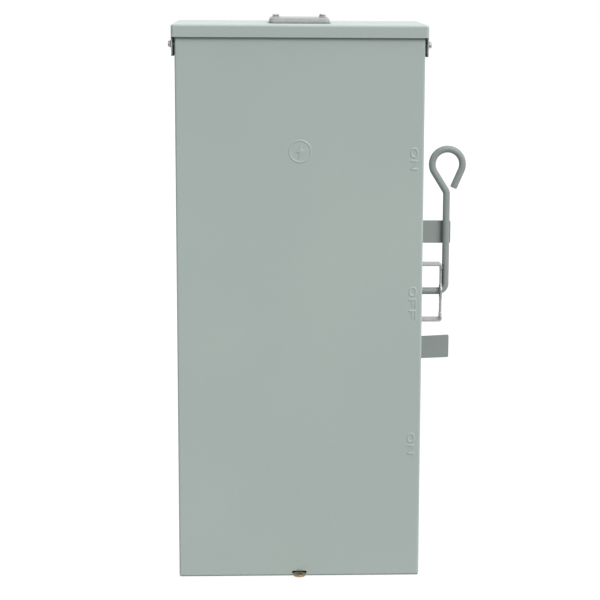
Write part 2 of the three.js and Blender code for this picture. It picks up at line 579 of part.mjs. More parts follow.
piece('stop_strap_upper', stopStrap(STRAP_UP, 0), HANDLE_PAINT);
piece('stop_strap_lower', stopStrap(STRAP_DOWN, STRAP_RISE), HANDLE_PAINT);
strapRivets.forEach(({ y, z }, i) => piece(`strap_rivet_${i + 1}`,
  rivet([WALL_FACE + STRAP_T, y, z], [1, 0, 0], STRAP_T + GAP + SHEET), ZINC));

// ---- switch base -----------------------------------------------------------------------------
const BASE_SCREWS = [[-92, -122], [92, -122], [-92, 122], [92, 122]];
const basePanel = join(
  slab(-BASE_HALF_W, BASE_HALF_W, BASE_FRONT, BASE_BACK,
    SHAFT_Z - BASE_HALF_H, SHAFT_Z + BASE_HALF_H),
  ...BASE_SCREWS.map(([x, z]) => bar('Y', 9, [x, SHAFT_Z + z], BASE_BACK - 1, -SHEET - GAP, 20)),
);
piece('switch_base', cut(basePanel,
  ...BASE_SCREWS.map(([x, z]) => bar('Y', 2.9, [x, SHAFT_Z + z], -30, 0, 14))), INSULATOR);
BASE_SCREWS.forEach(([x, z], i) => piece(`base_screw_${i + 1}`,
  hexScrew([x, BASE_FRONT - GAP, SHAFT_Z + z], [0, -1, 0],
    { shankR: 2.5, shank: 20, flangeR: 5, flatR: 4.2, head: 3.4 }), ZINC));

// ---- jaws, clips, lugs and blades, one set per pole -------------------------------------------
const COPPER_FACE = BASE_FRONT - GAP;
const leafIn = BLADE_T / 2 + LEAF_GAP;
function leaves(x, yTip, z0, z1) {
  return [-1, 1].map((s) => sheetAcross(x + s * leafIn, x + s * (leafIn + LEAF_T),
    yTip, COPPER_FACE - 1, z0, z1));
}
function lugBody(x, z0) {
  const back = COPPER_FACE - COPPER_T - GAP;
  const z1 = z0 + LUG.long;
  const middle = back - LUG.tall / 2 + 1.5;
  return cut(slab(x - LUG.halfW, x + LUG.halfW, back - LUG.tall, back, z0, z1),
    bar('Z', LUG.wireR, [x, middle], z0 - 1, z1 + 1, 24),
    bar('Y', LUG.screwR + GAP, [x, (z0 + z1) / 2], back - LUG.tall - 1, middle, 18));
}
function lugScrew(x, z0) {
  const front = COPPER_FACE - COPPER_T - GAP - LUG.tall - 2;
  const z = z0 + LUG.long / 2;
  return cut(bar('Y', LUG.screwR, [x, z], front, front + 9.5, 18),
    turned([[0, 0], [2.2, 0], [2.2, 4], [0, 4]], [x, front - 1, z], [0, 1, 0], HEX_SEGMENTS));
}
SIDES.forEach(([side, s]) => {
  const x = s * POLE_X;
  // Line and standby jaws are mirror images about the shaft.
  [['line', 1], ['standby', -1]].forEach(([name, up]) => {
    const z = (a, b) => [SHAFT_Z + up * a, SHAFT_Z + up * b].sort((p, q) => p - q);
    const foot = slab(x - 13, x + 13, COPPER_FACE - COPPER_T, COPPER_FACE, ...z(54, 124));
    piece(`${name}_jaw_${side}`, join(foot, ...leaves(x, -90, ...z(58, 84))), COPPER);
    const lugZ = z(94, 94 + LUG.long)[0];
    piece(`${name}_lug_${side}`, lugBody(x, lugZ), ALUMINIUM);
    piece(`${name}_lug_screw_${side}`, lugScrew(x, lugZ), ZINC);
  });
  const clipFoot = join(
    slab(x - 13, x + 13, COPPER_FACE - COPPER_T, COPPER_FACE, SHAFT_Z - 50, SHAFT_Z + 15),
    sheetAcross(s * POLE_X, s * (LOAD_LUG_X + LUG.halfW + 1), COPPER_FACE - COPPER_T, COPPER_FACE,
      SHAFT_Z - 50, SHAFT_Z - 21));
  piece(`load_clip_${side}`,
    join(clipFoot, ...leaves(x, -59, SHAFT_Z - 15, SHAFT_Z + 15)), COPPER);
  piece(`load_lug_${side}`, lugBody(s * LOAD_LUG_X, SHAFT_Z - 49), ALUMINIUM);
  piece(`load_lug_screw_${side}`, lugScrew(s * LOAD_LUG_X, SHAFT_Z - 49), ZINC);

  const outline = new THREE.Shape().absarc(SHAFT_Y, SHAFT_Z, BLADE_EYE_R, 0, Math.PI * 2);
  const arm = join(
    prism('X', outline, x - BLADE_T / 2, BLADE_T, { curveSegments: 14 }),
    slab(x - BLADE_T / 2, x + BLADE_T / 2, SHAFT_Y - BLADE_HALF_W, SHAFT_Y + BLADE_HALF_W,
      SHAFT_Z, SHAFT_Z + BLADE_LENGTH - BLADE_HALF_W),
    bar('X', BLADE_HALF_W, [SHAFT_Y, SHAFT_Z + BLADE_LENGTH - BLADE_HALF_W],
      x - BLADE_T / 2, x + BLADE_T / 2, 24),
  );
  const eye = BAR_HALF + GAP;
  piece(`blade_${side}`, cut(arm, slab(x - BLADE_T, x + BLADE_T, SHAFT_Y - eye, SHAFT_Y + eye,
    SHAFT_Z - eye, SHAFT_Z + eye)), COPPER);

  const bearing = new THREE.Shape();
  bearing.moveTo(SHAFT_Y, SHAFT_Z + 14).lineTo(COPPER_FACE, SHAFT_Z + 18);
  bearing.lineTo(COPPER_FACE, SHAFT_Z - 18).lineTo(SHAFT_Y, SHAFT_Z - 14);
  bearing.absarc(SHAFT_Y, SHAFT_Z, 14, -Math.PI / 2, -Math.PI * 1.5, true);
  const block = prism('X', bearing, s > 0 ? BEARING[0] : -BEARING[1], BEARING[1] - BEARING[0]);
  piece(`rotor_bearing_${side}`, cut(block,
    bar('X', JOURNAL_R + GAP, [SHAFT_Y, SHAFT_Z], -100, 100, 24)), MOULDED);
});

// ---- cross bar with the slotted dog, and the tongued dog on the handle shaft -------------------
const TONGUE = { half: 2.7, deep: 3.4 };
const dogFace = 100;
piece('rotor_bar', cut(join(
  slab(-BAR_END, BAR_END, SHAFT_Y - BAR_HALF, SHAFT_Y + BAR_HALF,
    SHAFT_Z - BAR_HALF, SHAFT_Z + BAR_HALF),
  bar('X', JOURNAL_R, [SHAFT_Y, SHAFT_Z], -JOURNAL_END, JOURNAL_END, 24),
  bar('X', DOG_R, [SHAFT_Y, SHAFT_Z], JOURNAL_END - 0.3, dogFace, 28),
), slab(dogFace - TONGUE.deep - GAP, dogFace + 1, SHAFT_Y - TONGUE.half - GAP,
  SHAFT_Y + TONGUE.half + GAP, SHAFT_Z - 20, SHAFT_Z + 20)), MOULDED);
const tongue = slab(dogFace - TONGUE.deep, dogFace + 1, SHAFT_Y - TONGUE.half,
  SHAFT_Y + TONGUE.half, SHAFT_Z - 13, SHAFT_Z + 13);
piece('shaft_dog', cut(join(tongue,
  bar('X', DOG_R, [SHAFT_Y, SHAFT_Z], dogFace + 0.6, dogFace + 6, 28),
  bar('X', 9, [SHAFT_Y, SHAFT_Z], dogFace + 5, dogFace + 16, 24)),
bar('X', ROD_R + GAP, [SHAFT_Y, SHAFT_Z], ROD_START - GAP, dogFace + 20, 20)), ZINC);

// ---- neutral and ground bars --------------------------------------------------------------------
// Bar with cross holes for wires and a slotted clamping screw over each.
function wireBar(x0, x1, y0, y1, z0, z1, count) {
  const pitch = (z1 - z0) / count;
  const middle = (x0 + x1) / 2;
  const stations = Array.from({ length: count }, (_, i) => z0 + pitch * (i + 0.5));
  return cut(join(slab(x0, x1, y0, y1, z0, z1),
    ...stations.map((z) => bar('Y', 3.4, [middle, z], y0 - 1.8, y0 + 1, 12))),
  ...stations.map((z) => bar('X', 3, [(y0 + y1) / 2 + 1, z], x0 - 1, x1 + 1, 12)),
  ...stations.map((z) => slab(middle - 4, middle + 4, y0 - 3, y0 - 0.9, z - 0.6, z + 0.6)));
}
const NEUTRAL = { x0: -131, x1: -117, z0: -70, z1: 70 };
piece('neutral_insulator', slab(NEUTRAL.x0, NEUTRAL.x1, -20, -SHEET - GAP,
  NEUTRAL.z0, NEUTRAL.z1), INSULATOR);
piece('neutral_bar', wireBar(NEUTRAL.x0 + 1, NEUTRAL.x1 - 1, -36, -20 - GAP,
  NEUTRAL.z0 + 4, NEUTRAL.z1 - 4, 6), ALUMINIUM);
piece('ground_bar', wireBar(112, 124, -15, -SHEET - GAP, -265, -213, 4), ALUMINIUM);

export default group;
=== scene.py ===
"""Looks of the rainproof double-throw safety switch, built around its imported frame.

Work is done in millimetres, and each finished piece is scaled to metres as it joins its body.
+X is the handle side, -Y the front and +Z up.
"""
import json
from math import acos, asin, atan2, copysign, cos, hypot, pi, radians, sin, sqrt, tan, tau

import bmesh
import bpy
from mathutils import Matrix, Vector


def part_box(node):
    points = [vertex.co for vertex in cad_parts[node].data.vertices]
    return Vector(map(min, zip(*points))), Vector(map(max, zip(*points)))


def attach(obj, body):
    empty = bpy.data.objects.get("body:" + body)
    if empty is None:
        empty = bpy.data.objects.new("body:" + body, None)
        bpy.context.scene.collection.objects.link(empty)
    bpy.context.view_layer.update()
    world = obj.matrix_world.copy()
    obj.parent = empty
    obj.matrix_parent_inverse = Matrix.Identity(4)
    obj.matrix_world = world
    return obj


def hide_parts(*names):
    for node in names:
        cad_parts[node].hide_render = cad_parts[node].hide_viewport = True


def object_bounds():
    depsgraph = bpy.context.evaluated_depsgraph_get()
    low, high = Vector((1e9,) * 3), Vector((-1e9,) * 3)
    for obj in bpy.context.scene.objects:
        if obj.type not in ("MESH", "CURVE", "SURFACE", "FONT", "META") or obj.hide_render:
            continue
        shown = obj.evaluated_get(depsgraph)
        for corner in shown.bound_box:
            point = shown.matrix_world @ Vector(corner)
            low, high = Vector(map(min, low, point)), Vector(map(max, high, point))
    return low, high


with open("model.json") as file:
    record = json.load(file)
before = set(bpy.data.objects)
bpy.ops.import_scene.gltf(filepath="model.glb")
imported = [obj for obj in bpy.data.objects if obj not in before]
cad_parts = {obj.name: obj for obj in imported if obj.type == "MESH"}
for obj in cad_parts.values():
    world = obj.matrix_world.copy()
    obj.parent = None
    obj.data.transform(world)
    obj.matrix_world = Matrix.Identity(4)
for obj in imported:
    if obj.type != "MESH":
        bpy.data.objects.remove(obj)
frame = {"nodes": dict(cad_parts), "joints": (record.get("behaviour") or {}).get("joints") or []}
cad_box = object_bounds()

MM = 0.001
GAP = 0.3


# ---- places read from the frame ----
def extent(node):
    low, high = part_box(node)
    return low / MM, high / MM


def centre(node):
    low, high = extent(node)
    return (low + high) / 2


joint_at = {j["name"]: Vector(j["pos_m"]) / MM for j in frame["joints"]}
PIN = joint_at["cover_hinge"]
SHAFT = joint_at["handle_turn"]
NODES = sorted(frame["nodes"])


# ---- node materials ----
def material(name, roughness, metallic=0.0, **sockets):
    """A new material, its node tree and its Principled shader, with values by socket name."""
    made = bpy.data.materials.new(name)
    made.use_nodes = True
    tree = made.node_tree
    shader = tree.nodes["Principled BSDF"]
    shader.inputs["Roughness"].default_value = roughness
    shader.inputs["Metallic"].default_value = metallic
    for socket, value in sockets.items():
        shader.inputs[socket.replace("_", " ")].default_value = value
    return made, tree, shader


def add(tree, kind, links=(), **values):
    """A node with its settings, its values by socket name, and its incoming links."""
    node = tree.nodes.new(kind)
    for key, value in values.items():
        if key in node.inputs:
            node.inputs[key].default_value = value
        else:
            setattr(node, key, value)
    for socket, source in links:
        tree.links.new(source, node.inputs[socket])
    return node


def noise(tree, scale, detail=3.0, rough=0.5, stretch=(1, 1, 1)):
    """Noise over the piece's own space; scale is in features per metre."""
    place = add(tree, "ShaderNodeTexCoord")
    scaled = add(tree, "ShaderNodeMapping", [("Vector", place.outputs["Object"])], Scale=stretch)
    made = add(tree, "ShaderNodeTexNoise", [("Vector", scaled.outputs["Vector"])],
               Scale=scale, Detail=detail, Roughness=rough)
    return made.outputs["Fac"]


def ramp(tree, source, *stops):
    node = add(tree, "ShaderNodeValToRGB", [("Fac", source)])
    bar = node.color_ramp
    while len(bar.elements) < len(stops):
        bar.elements.new(1.0)
    for element, (place, colour) in zip(bar.elements, stops):
        element.position = place
        element.color = (*colour, 1)
    return node.outputs["Color"]


def between(tree, source, low, high, from_low=0.3, from_high=0.7):
    limits = {"From Min": from_low, "From Max": from_high, "To Min": low, "To Max": high}
    return add(tree, "ShaderNodeMapRange", [("Value", source)], **limits).outputs["Result"]


def blend_colour(tree, kind, amount, first, second):
    node = add(tree, "ShaderNodeMix", data_type="RGBA", blend_type=kind)
    for i, value in ((0, amount), (6, first), (7, second)):
        if isinstance(value, bpy.types.NodeSocket):
            tree.links.new(value, node.inputs[i])
        else:
            node.inputs[i].default_value = value
    return node.outputs[2]


def bumpy(tree, shader, *layers):
    """Stacks height layers of (source, strength, distance in metres) onto the shader's normal."""
    normal = None
    for source, strength, distance in layers:
        node = add(tree, "ShaderNodeBump", [("Height", source)], Strength=strength, Distance=distance)
        if normal is not None:
            tree.links.new(normal, node.inputs["Normal"])
        normal = node.outputs["Normal"]
    tree.links.new(normal, shader.inputs["Normal"])


def drive(tree, shader, socket, source):
    tree.links.new(source, shader.inputs[socket])


def worn_edges(tree, radius):
    """White along edges narrower than radius (metres), black on flats."""
    place = add(tree, "ShaderNodeNewGeometry")
    rounded_off = add(tree, "ShaderNodeBevel", samples=4, Radius=radius)
    dot = add(tree, "ShaderNodeVectorMath",
              [(0, place.outputs["Normal"]), (1, rounded_off.outputs["Normal"])],
              operation="DOT_PRODUCT")
    away = add(tree, "ShaderNodeMath", [(1, dot.outputs["Value"])], operation="SUBTRACT")
    away.inputs[0].default_value = 1.0
    return between(tree, away.outputs[0], 0.0, 1.0, 0.02, 0.25)


def shade_crevices(tree, shader, colour, reach, darkest, fully_shaded_at, unshaded_at):
    """Sets the base colour, darkened by painted shade where ambient occlusion finds crevices, holes and
    overhangs; reach is in metres.
    """
    close = add(tree, "ShaderNodeAmbientOcclusion", samples=8, Distance=reach)
    # Painted shade: the colour darkens with the occlusion, standing in for shade in crevices and under
    # overhangs.
    painted_shade = ramp(tree, close.outputs["AO"], (fully_shaded_at, (darkest,) * 3), (unshaded_at, (1.0,) * 3))
    drive(tree, shader, "Base Color", blend_colour(tree, "MULTIPLY", 1.0, colour, painted_shade))


# The default joints give the painted shade under the cap's lip and in the gaps beside the hinge ears.
def paint(name, light, dark, roughness, peel, joints=(0.005, 0.22, 0.3, 0.85)):
    """Satin powder coat: soft tone drift, fine speckle, an orange-peel surface, and painted shade in its
    crevices and under overhangs.
    """
    made, tree, shader = material(name, roughness, Specular_IOR_Level=0.42)
    drift = ramp(tree, noise(tree, 4.5, 2.0, 0.45), (0.32, dark), (0.68, light))
    speck = ramp(tree, noise(tree, 1500, 2.0, 0.6), (0.35, (0.955,) * 3), (0.62, (1.0,) * 3))
    # Painted shade in crevices and under overhangs, from ambient occlusion.
    shade_crevices(tree, shader, blend_colour(tree, "MULTIPLY", 1.0, drift, speck), *joints)
    gloss = noise(tree, 60, 4.0, 0.55)
    drive(tree, shader, "Roughness", between(tree, gloss, roughness - 0.06, roughness + 0.07))
    bumpy(tree, shader, (noise(tree, 9, 2.0, 0.4), 0.25, 0.0006),
          (noise(tree, 620, 2.0, 0.45), peel, 0.00006))
    return made


def cast_metal(name):
    """Sand-cast closing plate, dull grey with a fine grain and rubbed high spots."""
    made, tree, shader = material(name, 0.5, 0.1)
    tone = ramp(tree, noise(tree, 240, 5.0, 0.65),
                (0.3, (0.285, 0.305, 0.295)), (0.7, (0.35, 0.37, 0.36)))
    rubbed = blend_colour(tree, "MIX", worn_edges(tree, 0.0012), tone, (0.42, 0.44, 0.43, 1))
    # Painted shade in the plate's crevices and hollows, from ambient occlusion.
    shade_crevices(tree, shader, rubbed, 0.003, 0.45, 0.2, 0.85)
    drive(tree, shader, "Roughness", between(tree, noise(tree, 500), 0.42, 0.6))
    bumpy(tree, shader, (noise(tree, 1100, 4.0, 0.6), 0.45, 0.00012))
    return made


def plated(name, stops, roughness, streak=(1, 1, 1), joints=(0.006, 0.2, 0.45, 0.9)):
    """Plated or rolled metal: tone drift, fine scratches along one direction, and painted shade in
    crevices.
    """
    made, tree, shader = material(name, roughness, 1.0)
    tone = ramp(tree, noise(tree, 130, 4.0, 0.6), *stops)
    # Painted shade in crevices and holes, from ambient occlusion.
    shade_crevices(tree, shader, tone, *joints)
    drive(tree, shader, "Roughness",
          between(tree, noise(tree, 300, 5.0, 0.6, streak), roughness - 0.08, roughness + 0.12))
    bumpy(tree, shader, (noise(tree, 1600, 3.0, 0.6, streak), 0.18, 0.00004))
    return made


def moulded(name, dark, light, roughness):
    """Compression-moulded thermoset: flow marks, fibre specks and a matte skin."""
    made, tree, shader = material(name, roughness, Specular_IOR_Level=0.4)
    flow = ramp(tree, noise(tree, 38, 4.0, 0.6, (1, 1, 0.35)), (0.3, dark), (0.75, light))
    fibre = ramp(tree, noise(tree, 900, 2.0, 0.7, (1, 1, 0.2)), (0.58, (1.0,) * 3), (0.72, (1.5,) * 3))
    drive(tree, shader, "Base Color", blend_colour(tree, "MULTIPLY", 1.0, flow, fibre))
    drive(tree, shader, "Roughness", between(tree, noise(tree, 220), roughness - 0.08, roughness + 0.08))
    bumpy(tree, shader, (noise(tree, 700, 3.0, 0.6), 0.3, 0.00008))
    return made


# Each joints entry sets the painted shade in crevices: its reach in metres, its darkest tone, and where it
# fades out.
FINISHES = {
    "painted_sheet": paint("paint_grey_green", (0.392, 0.455, 0.428), (0.372, 0.436, 0.412), 0.42, 0.16),
    "handle_paint": paint("paint_handle", (0.252, 0.279, 0.267), (0.229, 0.255, 0.244), 0.5, 0.3,
                          joints=(0.005, 0.5, 0.3, 0.85)),
    "hub_metal": cast_metal("cast_hub"),
    "zinc_plate": plated("zinc", ((0.3, (0.50, 0.47, 0.49)), (0.7, (0.66, 0.64, 0.65))), 0.34),
    "dull_zinc": plated("dull_zinc", ((0.3, (0.335, 0.33, 0.335)), (0.7, (0.425, 0.42, 0.425))), 0.45,
                        joints=(0.005, 0.45, 0.35, 0.85)),
    # Deep painted shade, which darkens the inside of the hasp's hole.
    "yellow_zinc": plated("yellow_zinc", ((0.3, (0.36, 0.25, 0.12)), (0.5, (0.44, 0.32, 0.19)),
                                          (0.72, (0.42, 0.36, 0.27))), 0.36,
                          joints=(0.008, 0.08, 0.62, 0.96)),
    "moulded_black": moulded("black_moulding", (0.020, 0.020, 0.022), (0.040, 0.039, 0.041), 0.52),
    "insulator": moulded("red_brown_moulding", (0.11, 0.036, 0.024), (0.17, 0.060, 0.040), 0.50),
    "copper": plated("copper", ((0.3, (0.60, 0.30, 0.17)), (0.7, (0.78, 0.45, 0.30))), 0.34, (1, 1, 0.08)),
    "aluminium": plated("aluminium", ((0.3, (0.60, 0.61, 0.62)), (0.7, (0.74, 0.75, 0.76))), 0.38,
                        (1, 1, 0.1)),
}


# ---- mesh helpers ----
def in_scene(name, data):
    made = bpy.data.objects.new(name, data)
    bpy.context.scene.collection.objects.link(made)
    return made


def to_object(bm):
    bmesh.ops.remove_doubles(bm, verts=bm.verts, dist=1e-4)
    bmesh.ops.recalc_face_normals(bm, faces=bm.faces)
    mesh = bpy.data.meshes.new("work")
    bm.to_mesh(mesh)
    bm.free()
    return in_scene("work", mesh)


def settle(piece):
    """Turns the piece's modifiers into plain mesh."""
    graph = bpy.context.evaluated_depsgraph_get()
    mesh = bpy.data.meshes.new_from_object(piece.evaluated_get(graph), depsgraph=graph)
    old = piece.data
    piece.modifiers.clear()
    piece.data = mesh
    bpy.data.meshes.remove(old)
    return piece


def drop(piece):
    mesh = piece.data
    bpy.data.objects.remove(piece)
    bpy.data.meshes.remove(mesh)


def combine(piece, operation, others):
    for other in others:
        step = piece.modifiers.new("combine", "BOOLEAN")
        step.operation = operation
        step.solver = "MANIFOLD"
        step.object = other
    settle(piece)
    for other in others:
        drop(other)
    return piece


def carve(piece, *tools):
    return combine(piece, "DIFFERENCE", tools)


def fuse(piece, *others):
    return combine(piece, "UNION", others)


def soften(piece, width, segments=2, angle=40):
    """Rounds every edge that turns by more than the angle."""
    step = piece.modifiers.new("soften", "BEVEL")
    step.width = width
    step.segments = segments
    step.limit_method = "ANGLE"
    step.angle_limit = radians(angle)
    return settle(piece)


def thicken(piece, thickness):
    """Gives a sheet its thickness, inward from its outer face."""
    step = piece.modifiers.new("thicken", "SOLIDIFY")
    step.thickness = thickness
    step.offset = -1.0
    step.use_even_offset = True
    return settle(piece)


def loft(rings):
    """Closed solid through rings of points, with flat ends."""
    bm = bmesh.new()
    rings = [[bm.verts.new(p) for p in ring] for ring in rings]
    bm.faces.new(rings[0])
    bm.faces.new(rings[-1])
    for near, far in zip(rings, rings[1:]):
        for i in range(len(near)):
            k = (i + 1) % len(near)
            bm.faces.new((near[i], near[k], far[k], far[i]))
    return to_object(bm)


def prism(axis, outline, start, stop):
    """Outline points lie in (y, z), (x, z) or (x, y) for axis X, Y or Z."""
    n = "XYZ".index(axis)
    return loft([[(*p[:n], along, *p[n:]) for p in outline] for along in (start, stop)])


def block(xa, xb, ya, yb, z0, z1):
    """Box between two values of x, y and z; those of x and y come in either order."""
    (x0, x1), (y0, y1) = sorted((xa, xb)), sorted((ya, yb))
    return prism("Z", [(x0, y0), (x1, y0), (x1, y1), (x0, y1)], z0, z1)


def quarter(steps):
    """Angles over a quarter turn, both ends included."""
    return [pi / 2 * i / steps for i in range(steps + 1)]


def smooth(t):
    """Eases from 0 to 1 as t does, and stays there beyond."""
    t = max(0.0, min(1.0, t))
    return t * t * (3 - 2 * t)


def ring_points(cx, cy, radius, count, start=0.0, sweep=tau):
    steps = count if abs(sweep - tau) < 1e-9 else count + 1
    return [(cx + radius * cos(start + sweep * i / count),
             cy + radius * sin(start + sweep * i / count)) for i in range(steps)]


def round_bar(axis, radius, at, start, stop, count=48):
    return prism(axis, ring_points(*at, radius, count), start, stop)


def rounded(x0, x1, y0, y1, radius, steps=6):
    """Rectangle with round corners; radius is one number or one for each corner from lower left."""
    radii = radius if isinstance(radius, tuple) else (radius,) * 4
    corners = ((x0, y0, 1, 1, pi), (x1, y0, -1, 1, -pi / 2),
               (x1, y1, -1, -1, 0.0), (x0, y1, 1, -1, pi / 2))
    points = []
    for (x, y, sx, sy, start), r in zip(corners, radii):
        if r == 0:
            points.append((x, y))
        else:
            points += ring_points(x + sx * r, y + sy * r, r, steps, start, pi / 2)
    return points


def turned(profile, origin, direction, count=48):
    """Solid of revolution; profile points are (radius, height), and an open end is closed flat."""
    basis = Vector(direction).to_track_quat("Z", "Y").to_matrix()
    place = Vector(origin)
    bm = bmesh.new()
    rings = []
    first, last = ([(0, end[1])] if end[0] else [] for end in (profile[0], profile[-1]))
    for radius, height in [*first, *profile, *last]:
        points = ring_points(0, 0, radius, count if radius else 1)
        rings.append([bm.verts.new(place + basis @ Vector((x, y, height))) for x, y in points])
    for low, high in zip(rings, rings[1:]):
        for i in range(count):
            k = (i + 1) % count
            loop = [low[i % len(low)], low[k % len(low)], high[k % len(high)], high[i % len(high)]]
            bm.faces.new(list(dict.fromkeys(loop)))
    return to_object(bm)


def publish(piece, node, finish, body="enclosure", crease=50, look=None):
    """Scales the piece to metres, shades it, and puts it on its body in place of its CAD node. The
    look is its material where that isn't the finish's usual one."""
    piece.data.transform(Matrix.Scale(MM, 4))
    piece.data.shade_smooth()
    piece.data.set_sharp_from_angle(angle=radians(crease))
    step = piece.modifiers.new("even_shading", "WEIGHTED_NORMAL")
    step.keep_sharp = True
    settle(piece)
    piece.name = piece.data.name = f"{node}_fine"
    piece.data.materials.clear()
    piece.data.materials.append(FINISHES[look or finish])
    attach(piece, body)
    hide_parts(node)


# ---- folded strips ----
class Fold:
    """A line through plane points with round bends, read by distance along it."""
    BEND_STEP = radians(9)

    def __init__(self, points, radius):
        points = [Vector(p) for p in points]
        self.parts = []
        self.stations = []
        reach = 0.0
        at = points[0]
        for before, corner, after in zip(points, points[1:], points[2:]):
            into, out = (corner - before).normalized(), (after - corner).normalized()
            turn = atan2(into.x * out.y - into.y * out.x, into.dot(out))
            setback = radius * tan(abs(turn) / 2)
            start = corner - into * setback
            reach += self.straight(reach, at, start)
            arc = radius * abs(turn)
            self.parts.append((reach, reach + arc, start, into, turn))
            steps = max(2, round(abs(turn) / self.BEND_STEP))
            self.stations += [reach + arc * i / steps for i in range(steps + 1)]
            reach += arc
            at = corner + out * setback
        reach += self.straight(reach, at, points[-1])
        self.length = reach
        self.radius = radius

    def straight(self, reach, start, stop):
        along = stop - start
        self.parts.append((reach, reach + along.length, start, along.normalized(), 0.0))
        return along.length

    def at(self, distance):
        """The point and the left-hand normal there; the ends run on straight."""
        part = next((p for p in self.parts if distance <= p[1]), self.parts[-1])
        start_at, _, start, into, turn = part
        left = Vector((-into.y, into.x))
        if turn == 0:
            return start + into * (distance - start_at), left
        side = copysign(1.0, turn)
        middle = start + left * side * self.radius
        turned_left = Matrix.Rotation(side * (distance - start_at) / self.radius, 2) @ left
        return middle - turned_left * side * self.radius, turned_left


def bend(piece, fold, place):
    """Bends a flat piece (x along the fold, y across, z through) and places it by a function
    of the plane point and the distance across."""
    bm = bmesh.new()
    bm.from_mesh(piece.data)
    for station in fold.stations:
        bmesh.ops.bisect_plane(bm, geom=bm.verts[:] + bm.edges[:] + bm.faces[:], dist=1e-5,
                               plane_co=(station, 0, 0), plane_no=(1, 0, 0))
    for v in bm.verts:
        point, left = fold.at(v.co.x)
        v.co = place(point + left * v.co.z, v.co.y)
    drop(piece)
    return to_object(bm)


def strip(outline, thickness, holes=()):
    """Flat sheet blank centred on z = 0; holes are (x, y, radius)."""
    made = prism("Z", outline, -thickness / 2, thickness / 2)
    soften(made, 0.35)
    for x, y, radius in holes:
        carve(made, round_bar("Z", radius, (x, y), -thickness, thickness))
    return made


# ---- trays: a panel with bent walls on three sides ----
def tray_levels(r, depth, lip=0.0):
    """(outset, depth) of each ring from the panel's edge round the bend, of radius r, and down the
    wall, to a lip turned inwards if there is one."""
    levels = [(r * (sin(a) - 1), r * (1 - cos(a))) for a in quarter(5)]
    if lip == 0:
        return levels + [(0.0, depth)]
    levels += [(r * (cos(a) - 1), depth - r * (1 - sin(a))) for a in quarter(5)]
    return levels + [(-lip, depth)]


def tray(a0, a1, b0, b1, corner, levels, place, columns=None, rows=None, height=None):
    """Sheet surface, open along b = b1. `place` maps (a, b, depth) to space. Columns and rows
    are the panel's grid lines, and `height` raises the panel's points out of its plane."""
    inset = -levels[0][0]
    columns = columns or [a0 + max(corner, inset), a1 - max(corner, inset)]
    rows = rows or [b0 + max(corner, inset), b1]
    steps = 6

    def outline(outset, depth):
        r = max(corner + outset, 0.0)
        reach = max(corner, -outset)
        left = [(a0 - outset, b) for b in reversed(rows[1:])]
        right = [(a1 + outset, b) for b in rows[1:]]
        low_left = ring_points(a0 + reach, b0 + reach, r, steps, pi, pi / 2)
        low_right = ring_points(a1 - reach, b0 + reach, r, steps, -pi / 2, pi / 2)
        low = [(a, b0 - outset) for a in columns[1:-1]]
        return [place(a, b, depth) for a, b in left + low_left + low + low_right + right]

    bm = bmesh.new()
    rings = [[bm.verts.new(p) for p in outline(*level)] for level in levels]
    for ring, further in zip(rings, rings[1:]):
        for i in range(len(ring) - 1):
            bm.faces.new((ring[i], ring[i + 1], further[i + 1], further[i]))
    if height is None:
        bm.faces.new(rings[0])
    else:
        grid = [[bm.verts.new(place(a, b, -height(a, b))) for a in columns] for b in rows]
        for low, high in zip(grid, grid[1:]):
            for i in range(len(columns) - 1):
                bm.faces.new((low[i], low[i + 1], high[i + 1], high[i]))
    return to_object(bm)


# ---- raised marks on the cover ----
EMBOSS = 0.55
SHOULDER = 0.6             # half the width over which a pressed edge rises
STROKE = 1.8
LETTER_TALL = 8.8
LETTER_LONG = {"O": 11.6, "N": 11.4, "F": 11.0}
LETTER_SPACE = 2.6
LABEL_X = 131.2
LABELS = (("ON", 174.0), ("OFF", 5.5), ("ON", -163.0))
BADGE_Z = 182.4
BADGE_R = 13.0
BADGE_RIM = 1.3
MARGIN = 1.5               # room round a mark for its pressed edge
BOLT = ((2.5, 9), (-5, -1.5), (-0.8, -1.5), (-2.5, -9), (5, 1.5), (0.8, 1.5))


def from_segment(p, a, b):
    along, to_p = b - a, p - a
    return (to_p - along * max(0.0, min(1.0, to_p.dot(along) / along.length_squared))).length


def from_round_box(p, half_x, half_y, radius):
    qx, qy = abs(p.x) - half_x + radius, abs(p.y) - half_y + radius
    return hypot(max(qx, 0), max(qy, 0)) + min(max(qx, qy), 0.0) - radius


def letter_strokes(character, z_top):
    """Distance functions of one letter, which reads downward with its top toward +X."""
    long = LETTER_LONG[character]
    low, high = STROKE / 2, LETTER_TALL - STROKE / 2
    first, last = STROKE / 2, long - STROKE / 2

    def spot(u, v):
        return Vector((LABEL_X - LETTER_TALL / 2 + v, z_top - u))

    def line(u0, v0, u1, v1):
        a, b = spot(u0, v0), spot(u1, v1)
        return lambda p: from_segment(p, a, b) - STROKE / 2
    if character == "O":
        middle = spot(long / 2, LETTER_TALL / 2)
        half_v, half_u = (high - low) / 2, (last - first) / 2
        return [lambda p: abs(from_round_box(p - middle, half_v, half_u, half_v)) - STROKE / 2]
    if character == "N":
        return [line(first, low, first, high), line(last, low, last, high), line(first, high, last, low)]
    return [line(first, low, first, high), line(first, high, last, high),
            line(first, LETTER_TALL / 2, last * 0.85, LETTER_TALL / 2)]


def label_marks():
    """(box, distance functions) of each word."""
    marks = []
    for word, middle in LABELS:
        longs = [LETTER_LONG[c] for c in word]
        total = sum(longs) + LETTER_SPACE * (len(word) - 1)
        z = middle + total / 2
        strokes = []
        for character, long in zip(word, longs):
            strokes += letter_strokes(character, z)
            z -= long + LETTER_SPACE
        across, along = LETTER_TALL / 2 + MARGIN, total / 2 + MARGIN
        box = (LABEL_X - across, LABEL_X + across, middle - along, middle + along)
        marks.append((box, strokes))
    return marks


